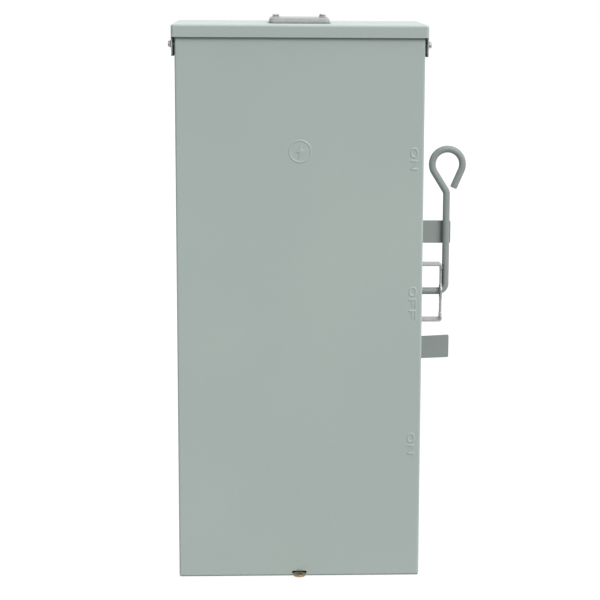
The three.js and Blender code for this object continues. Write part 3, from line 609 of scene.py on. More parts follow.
def badge_mark():
    """The badge's box, with its rim and its lightning bolt."""
    middle = Vector((0, BADGE_Z))
    corners = [middle + Vector(p) for p in BOLT]
    sides = list(zip(corners, corners[1:] + corners[:1]))

    def bolt(p):
        inside = False
        for a, b in sides:
            if (a.y > p.y) != (b.y > p.y) and p.x < a.x + (b.x - a.x) * (p.y - a.y) / (b.y - a.y):
                inside = not inside
        nearest = min(from_segment(p, a, b) for a, b in sides)
        return -nearest if inside else nearest
    reach = BADGE_R + MARGIN
    return ((-reach, reach, BADGE_Z - reach, BADGE_Z + reach),
            [lambda p: abs((p - middle).length - BADGE_R + BADGE_RIM / 2) - BADGE_RIM / 2, bolt])


MARKS = [*label_marks(), badge_mark()]


def emboss_height(x, z):
    for (x0, x1, z0, z1), strokes in MARKS:
        if x0 < x < x1 and z0 < z < z1:
            p = Vector((x, z))
            return EMBOSS * smooth(0.5 - min(f(p) for f in strokes) / (2 * SHOULDER))
    return 0.0


def grid_lines(low, high, fine_spans, coarse, fine):
    """Grid lines from low to high, close together over the fine spans."""
    merged = []
    for a, b in sorted(fine_spans):
        if merged and a <= merged[-1][1]:
            merged[-1][1] = max(b, merged[-1][1])
        else:
            merged.append([a, b])
    lines = [low]
    for a, b in [*merged, [high, high]]:
        steps = max(1, round((a - lines[-1]) / coarse))
        start = lines[-1]
        lines += [start + (a - start) * (i + 1) / steps for i in range(steps)]
        steps = round((b - a) / fine)
        lines += [a + (b - a) * (i + 1) / steps for i in range(steps)]
    return lines


# ---- the sheet-metal shell ----
COVER_SHEET, COVER_BEND, COVER_WRAP = 1.4, 2.4, 22.0
SHELL_SHEET, SHELL_BEND, SHELL_RETURN = 1.5, 2.0, 10.0
SHEET_EDGE = 0.3           # rounding of a sheared edge
CAP_CORNER, CAP_BEND, CAP_LIP = 3.4, 2.6, 14.2
HUB_HOLE_R = 22.0
PIN_HOLE_R = 2.8
SCREW_HOLE_R = 2.6
RIVET_HOLE_R = 2.3
SIDES = (("left", -1), ("right", 1))
HUB_SCREWS = ("hub_screw_left", "hub_screw_right")
HASP_RIVETS = ("hasp_rivet_1", "hasp_rivet_2")


def pin_hole(low, high):
    """Cutter along the cover's hinge line, past both sides of a piece."""
    return round_bar("X", PIN_HOLE_R, PIN.yz, low.x - 1, high.x + 1, 36)


def drill(piece, nodes, radius, start, stop, count=24):
    """Upright holes through the piece, from start to stop in z, at the centres of nodes."""
    for node in nodes:
        carve(piece, round_bar("Z", radius, centre(node).xy, start, stop, count))


def make_cover():
    low, high = extent("front_cover")
    face = low.y + EMBOSS
    boxes = [box for box, _ in MARKS]
    fine = 0.52
    columns = grid_lines(low.x + COVER_BEND, high.x - COVER_BEND, [b[:2] for b in boxes], 24.0, fine)
    rows = grid_lines(low.z + COVER_BEND, high.z, [b[2:] for b in boxes], 36.0, fine)
    cover = tray(low.x, high.x, low.z, high.z, COVER_BEND, tray_levels(COVER_BEND, COVER_WRAP),
                 lambda a, b, d: (a, face + d, b), columns, rows, emboss_height)
    thicken(cover, COVER_SHEET)
    slot_low, slot_high, slot_half, slot_corner = -322.0, -318.6, 8.75, 1.6
    hasp_slot = prism("Y", rounded(-slot_half, slot_half, slot_low, slot_high, slot_corner),
                      face - 4, face + 4)
    carve(cover, hasp_slot, pin_hole(low, high))
    publish(cover, "front_cover", "painted_sheet", "cover")


def make_stiffener():
    """Channel with a foot along each edge and sloping sides."""
    low, high = extent("cover_stiffener")
    half_gauge = SHELL_SHEET / 2
    foot, top = low.y + half_gauge, high.y - half_gauge
    middle = (low.z + high.z) / 2
    rise, slope = (high.z - low.z) / 4, 2
    fold = Fold([(foot, low.z), (foot, middle - rise), (top, middle - rise + slope),
                 (top, middle + rise - slope), (foot, middle + rise), (foot, high.z)], 1.8)
    blank = strip(rounded(0, fold.length, low.x, high.x, 3.0), SHELL_SHEET)
    bent = bend(blank, fold, lambda p, across: (across, p.x, p.y))
    publish(bent, "cover_stiffener", "painted_sheet", "cover")


def make_cap():
    """Tray with its lip down, cut off flat at the wall, and the two hinge ears."""
    low, high = extent("top_cap")
    cap = tray(low.x, high.x, low.y, high.y + 6, CAP_CORNER, tray_levels(CAP_BEND, CAP_LIP),
               lambda a, b, d: (a, b, high.z - d))
    thicken(cap, SHELL_SHEET)
    past_wall = block(-200, 200, high.y, high.y + 20, 200, 400)
    carve(cap, past_wall)
    ear_front, ear_back, ear_top = -164.5, -133.0, high.z - CAP_LIP + 4
    ear_depth, ear_corners = 2.8, (3.0, 1.2, 0, 0)
    for _, s in SIDES:
        outer = s * high.x
        skin, deep = outer - s * SHELL_SHEET, outer - s * ear_depth
        ear = [prism("X", rounded(ear_front, ear_back, low.z, ear_top + 1, ear_corners), skin, outer),
               block(deep, outer, ear_front + 3, ear_back - 1.2, low.z, low.z + SHELL_SHEET),
               block(deep, outer, ear_back - SHELL_SHEET, ear_back, low.z + 1.2, ear_top)]
        fuse(cap, *(soften(part, SHEET_EDGE) for part in ear))
    through = (300, 340)
    hub_hole = round_bar("Z", HUB_HOLE_R, centre("hub_plate").xy, *through, 64)
    carve(cap, pin_hole(low, high), hub_hole)
    drill(cap, HUB_SCREWS, SCREW_HOLE_R, *through)
    publish(cap, "top_cap", "painted_sheet")


def knockout_rings(axis, at, face, inward, radii):
    """Scored rings, broken by ties, cut into the outside of a wall."""
    width, depth, tie = 0.8, 0.6, 1.3
    tools = []
    for number, radius in enumerate(radii):
        sweep = pi - 2 * tie / radius
        for half in (0, 1):
            start = number * pi / 2 + half * pi + tie / radius
            outer = ring_points(*at, radius, 30, start, sweep)
            inner = ring_points(*at, radius - width, 30, start, sweep)
            ends = sorted((face - inward, face + inward * depth))
            tools.append(prism(axis, outer + inner[::-1], *ends))
    return tools


def make_body():
    low, high = extent("enclosure_body")
    body = tray(low.x, high.x, low.z, high.z, SHELL_BEND,
                tray_levels(SHELL_BEND, high.y - low.y, SHELL_RETURN),
                lambda a, b, d: (a, high.y - d, b))
    thicken(body, SHELL_SHEET)
    top_flange, notch_y, notch_z = 12.0, -138.0, 286.0
    sheet = (high.z - SHELL_SHEET, high.z)
    rim = [block(low.x + 1, high.x - 1, high.y - top_flange, high.y - 1, *sheet)]
    rim += [block(s * (high.x - 1), s * (high.x - top_flange), notch_y, high.y - 1, *sheet)
            for _, s in SIDES]
    fuse(body, *(soften(part, SHEET_EDGE) for part in rim))
    for _, s in SIDES:
        carve(body, block(s * (high.x + 1), s * (high.x - SHELL_RETURN - 1),
                          low.y - 1, notch_y, notch_z, high.z + 1))
    hasp_half, hasp_top = 9.5, -315
    carve(body, block(-hasp_half, hasp_half, low.y - 1, low.y + 4, low.z + SHELL_SHEET, hasp_top))
    bushing_hole_r = 8.0
    rivets = [n for n in NODES if n.startswith(("strap_rivet", "bracket_rivet"))]
    for at, radius in [*((centre(n), RIVET_HOLE_R) for n in rivets), (SHAFT, bushing_hole_r)]:
        carve(body, round_bar("X", radius, at.yz, high.x - 4, high.x + 4, 32))
    drill(body, HASP_RIVETS, RIVET_HOLE_R, low.z - 4, low.z + 4)
    keyhole_z, keyhole_r, neck_half, neck_tall = 285.0, 7.5, 3.6, 14
    carve(body, round_bar("Y", keyhole_r, (0, keyhole_z), -4, 4, 40),
          prism("Y", rounded(-neck_half, neck_half, keyhole_z, keyhole_z + neck_tall, 3.5), -4, 4))
    foot_x, foot_r = 90.0, 4.5
    bottom_radii, side_at, side_radii = (22, 14), (-82, -265), (17, 11)
    for _, s in SIDES:
        carve(body, round_bar("Y", foot_r, (s * foot_x, -keyhole_z), -4, 4, 32))
        carve(body, *knockout_rings("Z", (s * 62, -80), low.z, 1, bottom_radii))
        carve(body, *knockout_rings("X", side_at, s * high.x, -s, side_radii))
    publish(body, "enclosure_body", "painted_sheet")


# ---- hub plate and fasteners ----
def make_hub_plate():
    """Cast plate: an upright skirt, a narrow shoulder and a rounded top, hollow underneath."""
    low, high = extent("hub_plate")
    middle = (low + high) / 2
    half = high.x - middle.x

    def square(reach, corner, steps=6):
        return rounded(middle.x - reach, middle.x + reach, middle.y - reach, middle.y + reach,
                       corner, steps)
    skirt, inset_at_top = 2.8, 0.8
    levels = [(0.0, 0.0), (0.0, skirt - 0.5), (0.1, skirt - 0.2), (0.35, skirt),
              (0.6, skirt + 0.25), (inset_at_top, skirt + 0.8)]
    round_in, round_down = 2.2, 1.9
    shoulder = high.z - low.z - round_down
    levels += [(inset_at_top + round_in * (1 - cos(a)), shoulder + round_down * sin(a))
               for a in quarter(5)]
    plate = loft([[(x, y, low.z + height) for x, y in square(half - inset, max(6 - inset * 0.6, 2.5), 8)]
                  for inset, height in levels])
    wall, web, boss_r = 3.1, 2.0, 5.2
    pocket = prism("Z", square(half - wall, 4.0), low.z - 1, high.z - web)
    drill(pocket, HUB_SCREWS, boss_r, low.z - 2, high.z, 48)
    carve(plate, pocket)
    drill(plate, HUB_SCREWS, SCREW_HOLE_R, low.z - 2, high.z + 2)
    publish(plate, "hub_plate", "hub_metal")


def thread(radius, bite, pitch, start, count):
    """Profile points of a screw thread, drawn as rings."""
    points = []
    for i in range(count):
        points += [(radius, start + pitch * i), (radius - bite, start + pitch * (i + 0.5))]
    return points


def hex_screw(seat, out, shank_r, shank, flange_r, flat_r, head, slot_turn):
    """Slotted hex washer-head screw; `out` points away from the work."""
    out = Vector(out)
    pitch = 1.2
    rings = thread(shank_r, 0.22, pitch, 0.1, int((shank - pitch) / pitch))
    shaft = turned([(shank_r, -0.6), *rings, (shank_r - 0.7, shank)], seat, -out, 28)
    washer = turned([(flange_r, -0.05), (flange_r, 0.35), (flange_r - 0.35, 0.75),
                     (flange_r - 1.2, 0.95), (0, 1.0)], seat, out, 40)
    crown = turned([(flat_r, 0.4), (flat_r, head - 0.55), (flat_r * 0.86, head - 0.1),
                    (flat_r * 0.6, head)], seat, out, 6)
    soften(crown, 0.22, 2, 25)
    slot = block(-flat_r - 1, flat_r + 1, -0.65, 0.65, head - 1.5, head + 1)
    turn = out.to_track_quat("Z", "Y").to_matrix().to_4x4()
    slot.data.transform(Matrix.Translation(seat) @ turn @ Matrix.Rotation(slot_turn, 4, "Z"))
    carve(crown, slot)
    return fuse(shaft, washer, crown)


def make_screws():
    cap_top = extent("hub_plate")[1].z + GAP
    ear = extent("top_cap")[1].x + GAP
    nut_from, nut_profile = 137, [(3.7, 0), (4.05, 0.4), (4.05, 3.2), (3.7, 3.6)]
    for (side, s), node in zip(SIDES, HUB_SCREWS):
        at = centre(node)
        screw = hex_screw((at.x, at.y, cap_top), (0, 0, 1), shank_r=2.2, shank=15, flange_r=4.6,
                          flat_r=3.9, head=3.6, slot_turn=radians(90 if s < 0 else 52))
        publish(screw, node, "zinc_plate", crease=35)
        screw = hex_screw((s * ear, PIN.y, PIN.z), (s, 0, 0), shank_r=2.5, shank=ear - 135.5,
                          flange_r=4.4, flat_r=3.9, head=3.1, slot_turn=radians(20 * s))
        nut = turned(nut_profile, (s * nut_from, PIN.y, PIN.z), (s, 0, 0), 6)
        publish(fuse(screw, nut), f"hinge_screw_{side}", "zinc_plate", crease=35, look="dull_zinc")
    for node in (n for n in NODES if n.startswith("base_screw")):
        at = centre(node)
        head = 3.4
        screw = hex_screw((at.x, extent(node)[0].y + head, at.z), (0, -1, 0), shank_r=2.5, shank=20,
                          flange_r=5.0, flat_r=4.2, head=head, slot_turn=at.x / 50)
        publish(screw, node, "zinc_plate", crease=35)


def make_rivets():
    """Domed heads outside, clenched tails inside."""
    head_r, dome_tall = 4.0, 1.6
    dome = [(head_r * sin(a), dome_tall * (1 - cos(a))) for a in quarter(8)]
    for node in (n for n in NODES if "rivet" in n):
        low, high = extent(node)
        at = (low + high) / 2
        if node in HASP_RIVETS:
            out, top, long = Vector((0, 0, 1)), (at.x, at.y, high.z), high.z - low.z
        else:
            out, top, long = Vector((1, 0, 0)), (high.x, at.y, at.z), high.x - low.x
        tail = [(2.0, 1.62), (2.0, long - 1.1), (3.3, long - 1.1), (3.4, long - 0.8),
                (3.0, long - 0.15), (2.2, long)]
        publish(turned(dome + tail, top, -out, 36), node, "zinc_plate", crease=40)


# ---- hasp, handle and its fittings ----
def make_hasp():
    """Flat tongue with a ring at its nose and wide shoulders inside the box."""
    low, high = extent("padlock_hasp")
    ring_r, hole_r, neck, base = 7.3, 3.5, 3.3, 11.8
    ring_y = low.y + ring_r
    shoulder_y, flare = -160.0, 3

    def half_width(y):
        if y > shoulder_y - flare:
            return neck + (base - neck) * smooth((y - shoulder_y + flare) / flare)
        ring = sqrt(max(ring_r ** 2 - (y - ring_y) ** 2, 0.0))
        return max(ring, neck) if y > ring_y else ring
    nose = [ring_y - ring_r * cos(a) for a in quarter(10)]
    rest = [ring_y + (high.y - ring_y) * i / 60 for i in range(1, 61)]
    edge = [(half_width(y), y) for y in nose + rest]
    outline = edge + [(-x, y) for x, y in reversed(edge[1:])]
    hasp = soften(prism("Z", outline, low.z, high.z), 0.35)
    carve(hasp, round_bar("Z", hole_r, (0, ring_y), low.z - 1, high.z + 1, 40))
    drill(hasp, HASP_RIVETS, RIVET_HOLE_R, low.z - 1, high.z + 1)
    publish(hasp, "padlock_hasp", "yellow_zinc")


ROD_R = 4.2
LOOP_R = 18.2


def handle_path():
    """Centre line of the bent bar in x and height above the shaft."""
    low, high = extent("handle_rod")
    loop = Vector((high.x - LOOP_R - ROD_R, high.z - LOOP_R - ROD_R - SHAFT.z))
    arm = loop.x - 0.5
    bend_r, kink_z, kink_r = 9.0, 120.5, 10.0
    lean_from = Vector((arm, kink_z))
    to_loop = loop - lean_from
    away = atan2(to_loop.y, to_loop.x) + asin(LOOP_R / to_loop.length)
    along = sqrt(to_loop.length_squared - LOOP_R ** 2)
    touch = lean_from + Vector((cos(away), sin(away))) * along
    lean = away - pi / 2
    hook_lean = radians(23.5)
    hook_long = 23.0
    points = [(low.x, 0.0), (low.x + 1, 0.0), (132.0, 0.0)]
    points += ring_points(arm - bend_r, bend_r, bend_r, 14, -pi / 2, pi / 2)
    points += [(arm, 30.0), (arm, 75.0)]
    points += ring_points(arm - kink_r, kink_z - kink_r * tan(lean / 2), kink_r, 8, 0.0, lean)
    first = atan2(touch.y - loop.y, touch.x - loop.x) % tau
    points += ring_points(*loop, LOOP_R, 56, first, -hook_lean - first)
    end = Vector(points[-1])
    down = Vector((-sin(hook_lean), -cos(hook_lean)))
    points += [end + down * (hook_long - 1), end + down * hook_long]
    return [Vector(p) for p in points]


def make_handle():
    """Round bar swept along the path, its sheared ends slightly rounded off."""
    path = handle_path()
    last = len(path) - 1
    rings = []
    for i, point in enumerate(path):
        before = (point - path[max(i - 1, 0)]).normalized()
        after = (path[min(i + 1, last)] - point).normalized()
        along = (before + after).normalized()
        side = Vector((-along.y, along.x))
        if i in (0, last):
            deep = wide = ROD_R - 0.6
        else:
            deep, wide = ROD_R, ROD_R / side.dot(Vector((-after.y, after.x)))
        spots = [(point + side * wide * c, deep * s) for c, s in ring_points(0, 0, 1, 36)]
        rings.append([(at.x, SHAFT.y + y, SHAFT.z + at.y) for at, y in spots])
    publish(loft(rings), "handle_rod", "handle_paint", "handle", 60)


def on_shaft(profile, x, count=48):
    """Piece turned about the shaft's line, from x towards the handle."""
    return turned(profile, (x, SHAFT.y, SHAFT.z), (1, 0, 0), count)


def shaft_block(x0, x1, half_y, half_z):
    """Box centred on the shaft's line."""
    return block(x0, x1, SHAFT.y - half_y, SHAFT.y + half_y, SHAFT.z - half_z, SHAFT.z + half_z)


def sleeve(profile, x, bore, reach):
    """Turned piece with a hole along the shaft's line."""
    return carve(on_shaft(profile, x), on_shaft([(bore, -1), (bore, reach + 1)], x, 40))


def make_shaft_fittings():
    bore = ROD_R + GAP
    low, high = extent("shaft_bushing")
    step = extent("guide_bracket")[0].x - low.x
    profile = [(7.1, 0), (7.7, 0.6), (7.7, step), (11.6, step), (12, step + 0.4),
               (12, step + 2.2), (11.2, step + 3), (6.6, step + 3), (6.0, step + 2.5)]
    publish(sleeve(profile, low.x, bore, high.x - low.x), "shaft_bushing", "zinc_plate", crease=35)
    low, high = extent("shaft_collar")
    wide = high.x - low.x
    collar = sleeve([(7.5, 0), (8, 0.5), (8, wide - 0.5), (7.5, wide)], low.x, bore, wide)
    set_screw = ((low.x + high.x) / 2, SHAFT.z)
    carve(collar, round_bar("Y", 1.6, set_screw, SHAFT.y - 9, SHAFT.y - 5, 20))
    publish(collar, "shaft_collar", "zinc_plate", "handle", 35)
    low, high = extent("shaft_dog")
    face = low.x + 3.4
    dog = on_shaft([(14.5, 0), (15, 0.5), (15, 4.9), (14.5, 5.4), (9.6, 5.4), (9, 6.0),
                    (9, 14.9), (8.5, 15.4)], face + 0.6)
    tongue = shaft_block(low.x, face + 2, 2.7, 13)
    fuse(dog, soften(tongue, 0.4))
    carve(dog, round_bar("X", bore, SHAFT.yz, face + 1.5 - GAP, high.x + 1, 40))
    publish(dog, "shaft_dog", "zinc_plate", "handle", 35)


def make_bracket():
    """Bent strip round the shaft: two bars, and a narrow leg with an eye."""
    low, high = extent("guide_bracket")
    gauge, radius, foot = 2.2, 2.4, 17.0
    x_wall, x_leg = low.x + gauge / 2, high.x - gauge / 2
    z_up, z_down = high.z - foot - gauge / 2, low.z + foot + gauge / 2
    fold = Fold([(x_wall, high.z), (x_wall, z_up), (x_leg, z_up), (x_leg, z_down),
                 (x_wall, z_down), (x_wall, low.z)], radius)
    shaft_at = next(u for u in (fold.length * i / 2000 for i in range(2001))
                    if fold.at(u)[0].x > x_leg - 0.01 and fold.at(u)[0].y < SHAFT.z)
    wide, neck, eye_r, eye_hole_r = 11.5, 6.0, 11.0, 7.9
    shoulder = (z_up - z_down) / 2 - 6.0

    def half_width(u):
        away = abs(u - shaft_at)
        eye = sqrt(max(eye_r ** 2 - away ** 2, 0.0))
        return max(eye, neck + (wide - neck) * smooth((away - shoulder + 3) / 5))
    count = 240
    edge = [(fold.length * i / count, half_width(fold.length * i / count)) for i in range(count + 1)]
    outline = edge + [(u, -w) for u, w in reversed(edge)]
    rivets = [centre("bracket_rivet_1"), centre("bracket_rivet_2")]
    ends = [high.z - rivets[0].z, fold.length - (rivets[1].z - low.z)]
    holes = [(shaft_at, 0, eye_hole_r), *((u, 0, RIVET_HOLE_R) for u in ends)]
    bent = bend(strip(outline, gauge, holes), fold, lambda p, across: (p.x, SHAFT.y + across, p.y))
    publish(bent, "guide_bracket", "zinc_plate", look="dull_zinc")


def make_straps():
    """Strips bent round the box's front corner; the lower one climbs towards its front end."""
    gauge, radius, half = 2.4, 2.6, 13.7
    for node, side, rise in (("stop_strap_upper", 1, 0.0), ("stop_strap_lower", -1, 2.3)):
        low, high = extent(node)
        rivets = [centre(n) for n in NODES if n.startswith("strap_rivet")]
        rivets = [at for at in rivets if (at.z - SHAFT.z) * side > 0]
        wall, front = low.x + gauge / 2, low.y + gauge / 2
        fold = Fold([(wall, high.y), (wall, front), (high.x, front)], radius)
        middle = sum(at.z for at in rivets) / len(rivets)
        holes = [(high.y - at.y, at.z - middle, RIVET_HOLE_R) for at in rivets]

        def place(p, across):
            out = max(0.0, (p.x - wall) / (high.x - wall))
            share = (across / half + 1) / 2
            return p.x, p.y, middle + across + rise * out * (0.7 + 0.3 * share)
        blank = strip(rounded(0, fold.length, -half, half, 1.6), gauge, holes)
        publish(bend(blank, fold, place), node, "handle_paint")


# ---- switch mechanism ----
COPPER, LEAF = 2.7, 2.4
BLADE_T = 3.0
UPPER_LEAVES = (58.0, 84.0)
EYE_R, ARM_HALF, ARM_TIP = 26.0, 10.0, 70.0
POLE_X, POLE_HALF = 45.0, 13.0
JOURNAL_R = 7.0


def make_base():
    """Moulded panel with raised edges round each pole, on four standoffs."""
    low, high = extent("switch_base")
    thick, rim = 10.0, 26
    back = low.y + thick
    panel = soften(prism("Y", rounded(low.x, high.x, low.z, high.z, 6.0), low.y, back), 0.9, 3)
    bays = ((-27, 27), (low.x + 6, -63), (63, high.x - 6))
    for x0, x1 in bays:
        for z0, z1 in ((low.z + rim, SHAFT.z - 56), (SHAFT.z + rim, high.z - rim)):
            carve(panel, soften(prism("Y", rounded(x0, x1, z0, z1, 3.0), low.y - 2, low.y + 2.5), 0.5))
    long = high.y - back
    for at in (centre(n) for n in NODES if n.startswith("base_screw")):
        post = turned([(9, 0), (9, long - 0.8), (8.2, long)], (at.x, back - 1, at.z), (0, 1, 0))
        fuse(panel, post)
        sink = turned([(7.4, -1), (6.6, 0.5)], (at.x, low.y, at.z), (0, 1, 0), 40)
        carve(panel, round_bar("Y", 2.9, at.xz, low.y - 1, high.y + 1, 24), sink)
    publish(panel, "switch_base", "insulator")
    low, high = extent("neutral_insulator")
    foot = soften(prism("Y", rounded(low.x, high.x, low.z, high.z, 2.0), low.y, high.y), 0.7, 3)
    for z in (low.z + 25, (low.z + high.z) / 2, high.z - 25):
        carve(foot, block(low.x - 1, low.x + 1.2, low.y + 4, high.y - 3, z - 14, z + 14))
    publish(foot, "neutral_insulator", "insulator")


def leaf_pair(x, tip, z0, z1, seat):
    """Two sprung leaves with flared tips and riveted feet, either side of a blade."""
    dome = [(1.9, -0.3), (1.9, 0.3), (1.5, 0.8), (0.8, 1.1), (0, 1.2)]
    foot = seat - LEAF / 2 + 0.1
    clearance, foot_long, rivet_at, flare = 0.4, 8.4, 5.6, 1.5
    parts = []
    for _, s in SIDES:
        middle = x + s * (BLADE_T / 2 + clearance + LEAF / 2)
        fold = Fold([(middle + s * foot_long, foot), (middle, foot), (middle, tip + 8),
                     (middle + s * flare, tip + 0.4)], 2.4)
        blank = strip(rounded(0, fold.length, z0, z1, (1.0, 3.5, 3.5, 1.0)), LEAF)
        parts.append(bend(blank, fold, lambda p, across: (p.x, p.y, across)))
        parts += [turned(dome, (middle + s * rivet_at, foot - LEAF / 2, z), (0, -1, 0), 20)
                  for z in (z0 + 7, z1 - 7)]
    return parts


def make_contacts():
    for side, s in SIDES:
        for name, up in (("line", 1), ("standby", -1)):
            node = f"{name}_jaw_{side}"
            low, high = extent(node)
            seat = high.y - COPPER
            z0, z1 = sorted(SHAFT.z + up * z for z in UPPER_LEAVES)
            foot = soften(prism("Y", rounded(low.x, high.x, low.z, high.z, 2.5), seat, high.y), 0.35)
            fuse(foot, *leaf_pair((low.x + high.x) / 2, low.y, z0, z1, seat))
            publish(foot, node, "copper")
        node = f"load_clip_{side}"
        low, high = extent(node)
        seat = high.y - COPPER
        x, half, wing_tall = s * POLE_X, 15, 29
        foot = prism("Y", rounded(x - POLE_HALF, x + POLE_HALF, low.z, high.z, 2.5), seat, high.y)
        wing_x = sorted((x, high.x if s > 0 else low.x))
        wing = prism("Y", rounded(*wing_x, low.z, low.z + wing_tall, 2.5), seat, high.y)
        soften(fuse(foot, wing), 0.35)
        fuse(foot, *leaf_pair(x, low.y, SHAFT.z - half, SHAFT.z + half, seat))
        publish(foot, node, "copper")


def make_lugs():
    """Clamping blocks with a bore for the wire and a socket screw across it."""
    for node in (n for n in NODES if "_lug_" in n and "screw" not in n):
        low, high = extent(node)
        screw_node = node.replace("_lug_", "_lug_screw_")
        screw_low, screw_high = extent(screw_node)
        x, z = ((screw_low + screw_high) / 2).xz
        wire_y = (low.y + high.y) / 2 + 1.5
        tall = high.z - low.z
        lug = soften(block(low.x, high.x, low.y, high.y, low.z, high.z), 1.1, 3)
        carve(lug, turned([(7.7, -1), (6.5, 0.7), (6.5, tall - 0.7), (7.7, tall + 1)],
                          (x, wire_y, low.z), (0, 0, 1)))
        sink = turned([(5.3, -1), (4.3, 0.6)], (x, low.y, z), (0, 1, 0), 32)
        carve(lug, round_bar("Y", 4.3, (x, z), low.y - 1, wire_y, 32), sink)
        publish(lug, node, "aluminium")
        long = screw_high.y - screw_low.y
        pitch = 1.3
        rings = thread(4.0, 0.3, pitch, 1.5, int((long - 3) / pitch))
        start = (x, screw_low.y, z)
        screw = turned([(3.4, 0), (4.0, 0.6), *rings, (3.2, long)], start, (0, 1, 0), 36)
        carve(screw, turned([(2.2, -1), (2.2, 3.2), (0, 4.0)], start, (0, 1, 0), 6))
        publish(screw, screw_node, "zinc_plate", crease=35)


def make_blades():
    opening = acos(ARM_HALF / EYE_R)
    outline = ring_points(*SHAFT.yz, EYE_R, 64, pi - opening, pi + 2 * opening)
    outline += ring_points(SHAFT.y, SHAFT.z + ARM_TIP, ARM_HALF, 24, 0.0, pi)
    hole = 10.3
    for side, _ in SIDES:
        node = f"blade_{side}"
        low, high = extent(node)
        blade = soften(prism("X", outline, low.x, high.x), 0.5, 3)
        carve(blade, shaft_block(low.x - 1, high.x + 1, hole, hole))
        publish(blade, node, "copper", "rotor")


def make_rotor():
    """Square cross bar with a collar either side of each blade, a journal and a slotted disc."""
    low, high = extent("rotor_bar")
    half, square_end, disc = 10.0, 84.0, 6.0
    collar_half, collar_near, collar_far = 12.4, 1.9, 6.4
    bar = soften(shaft_block(-square_end, square_end, half, half), 1.2, 3)
    for side, _ in SIDES:
        x = centre(f"blade_{side}").x
        for _, s in SIDES:
            near, far = x + s * collar_near, x + s * collar_far
            fuse(bar, soften(shaft_block(near, far, collar_half, collar_half), 1.0, 3))
    r, long = JOURNAL_R, high.x - low.x - disc
    fuse(bar, on_shaft([(r - 0.7, 0), (r, 0.7), (r, long - 0.5), (0, long)], low.x),
         on_shaft([(14.3, 0), (15, 0.7), (15, 5.3), (14.5, disc)], high.x - disc, 64))
    slot_deep, slot_half = 3.7, 3
    carve(bar, shaft_block(high.x - slot_deep, high.x + 1, slot_half, 20))
    publish(bar, "rotor_bar", "moulded_black", "rotor")


def make_bearings():
    """Blocks with a round nose and a flat foot on the base."""
    nose_r, foot_half = 14.0, 18
    for side, _ in SIDES:
        node = f"rotor_bearing_{side}"
        low, high = extent(node)
        outline = ring_points(*SHAFT.yz, nose_r, 24, pi / 2, pi)
        outline += [(high.y, SHAFT.z - foot_half), (high.y, SHAFT.z + foot_half)]
        bearing = soften(prism("X", outline, low.x, high.x), 0.8, 3)
        carve(bearing, round_bar("X", JOURNAL_R + GAP, SHAFT.yz, low.x - 1, high.x + 1, 40))
        publish(bearing, node, "moulded_black")


def wire_bar(node, count):
    """Bar with cross holes for wires and a slotted clamping screw over each."""
    low, high = extent(node)
    face = low.y + 1.8
    bar = soften(block(low.x, high.x, face, high.y, low.z, high.z), 0.8, 3)
    pitch = (high.z - low.z) / count
    x, y = (low.x + high.x) / 2, (face + high.y) / 2 + 1
    stations = [low.z + pitch * (i + 0.5) for i in range(count)]
    carve(bar, *(round_bar("X", 3.0, (y, z), low.x - 1, high.x + 1, 28) for z in stations))
    sink = [(4.2, -1), (3.5, 0.4), (3.5, 3)]
    carve(bar, *(turned(sink, (x, face, z), (0, 1, 0), 32) for z in stations))
    for i, z in enumerate(stations):
        head = turned([(2.9, 0), (3.3, 0.5), (3.3, 5.0)], (x, low.y, z), (0, 1, 0), 32)
        slot = block(-5, 5, -1, 1.1, -0.6, 0.6)
        slot.data.transform(Matrix.Translation((x, low.y, z)) @ Matrix.Rotation(i * 0.9, 4, "Y"))
        fuse(bar, carve(head, slot))
    publish(bar, node, "aluminium")


make_cover()
make_stiffener()
make_cap()
make_body()
make_hub_plate()
make_screws()
make_rivets()
make_hasp()
make_handle()
make_shaft_fittings()
make_bracket()
make_straps()
make_base()
make_contacts()
make_lugs()
make_blades()
make_rotor()
make_bearings()
wire_bar("neutral_bar", 6)
wire_bar("ground_bar", 4)


# ---- floor, light and camera ----
def make_floor():
    """Round floor just under the object, in metres; it glows, so that it reads as white."""
    finish, tree, shader = material("studio_floor", 0.8, Specular_IOR_Level=0.1,
                                    Emission_Color=(1, 1, 1, 1), Emission_Strength=0.92)
    drive(tree, shader, "Base Color",
          ramp(tree, noise(tree, 3.0), (0.3, (0.095,) * 3), (0.7, (0.105,) * 3)))
    reach, level = 14.0, cad_box[0].z - 0.001
    bm = bmesh.new()
    bm.faces.new([bm.verts.new((x, y, level)) for x, y in ring_points(0, 0, reach, 64)])
    floor = to_object(bm)
    floor.name = floor.data.name = "floor"
    floor.data.materials.append(finish)
    floor.visible_diffuse = False


def sun(name, azimuth, elevation, strength, spread):
    """Even soft light from far off; azimuth 0 comes from the front and 90 from the handle side."""
    data = bpy.data.lights.new(name, "SUN")
    data.energy = strength
    data.angle = radians(spread)
    a, e = radians(azimuth), radians(elevation)
    toward = Vector((sin(a) * cos(e), -cos(a) * cos(e), sin(e)))
    in_scene(name, data).rotation_euler = toward.to_track_quat("Z", "Y").to_euler()


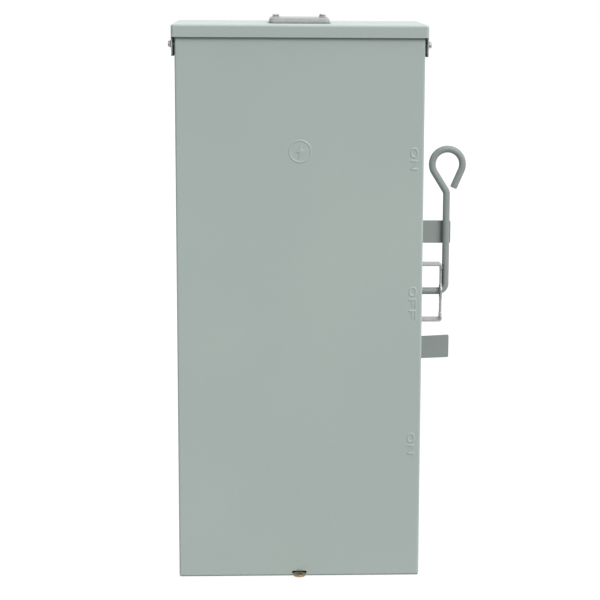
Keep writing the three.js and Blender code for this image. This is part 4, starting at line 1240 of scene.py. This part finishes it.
def make_light():
    """A white sweep behind, dim surroundings in front and to the left, and a key light from the
    right. The camera sees plain white."""
    world = bpy.data.worlds.new("studio")
    world.use_nodes = True
    tree = world.node_tree
    place = add(tree, "ShaderNodeTexCoord")
    axes = add(tree, "ShaderNodeSeparateXYZ", [("Vector", place.outputs["Generated"])])
    behind = between(tree, axes.outputs["Y"], low=0.0, high=0.85, from_low=-0.15, from_high=0.3)
    beside = between(tree, axes.outputs["X"], low=0.27, high=0.42, from_low=-0.6, from_high=0.6)
    glow = add(tree, "ShaderNodeMath", [(0, behind), (1, beside)], operation="ADD")
    lit = tree.nodes["Background"]
    tree.links.new(glow.outputs[0], lit.inputs["Strength"])
    seen = add(tree, "ShaderNodeBackground")
    for back in (lit, seen):
        back.inputs["Color"].default_value = (1.0, 1.0, 1.0, 1)
    path = add(tree, "ShaderNodeLightPath")
    mix = add(tree, "ShaderNodeMixShader",
              [("Fac", path.outputs["Is Camera Ray"]), (1, lit.outputs[0]), (2, seen.outputs[0])])
    tree.links.new(mix.outputs[0], tree.nodes["World Output"].inputs["Surface"])
    bpy.context.scene.world = world
    sun("key", azimuth=35, elevation=37, strength=2.52, spread=30)
    sun("top", azimuth=10, elevation=80, strength=1.1, spread=60)


def make_camera():
    """Long lens, a little to the left of the box and above its top."""
    yaw, pitch, roll = (radians(angle) for angle in (2.664, 10.212, 0.401))
    stand = Vector((-0.0374, -2.2736, 0.3898))
    ahead = Vector((sin(yaw) * cos(pitch), cos(yaw) * cos(pitch), -sin(pitch)))
    right = Vector((cos(yaw), -sin(yaw), 0))
    up = right.cross(ahead)
    right, up = (right * cos(roll) + up * sin(roll),
                 up * cos(roll) - right * sin(roll))
    data = bpy.data.cameras.new("camera")
    data.lens = 110.64
    data.sensor_width = 36
    data.shift_x = -0.0867
    data.clip_end = 60
    camera = in_scene("camera", data)
    turn = Matrix((right, up, -ahead)).transposed().to_4x4()
    camera.matrix_world = Matrix.Translation(stand) @ turn
    bpy.context.scene.camera = camera


make_floor()
make_light()
make_camera()
bpy.context.scene.view_settings.view_transform = "Standard"
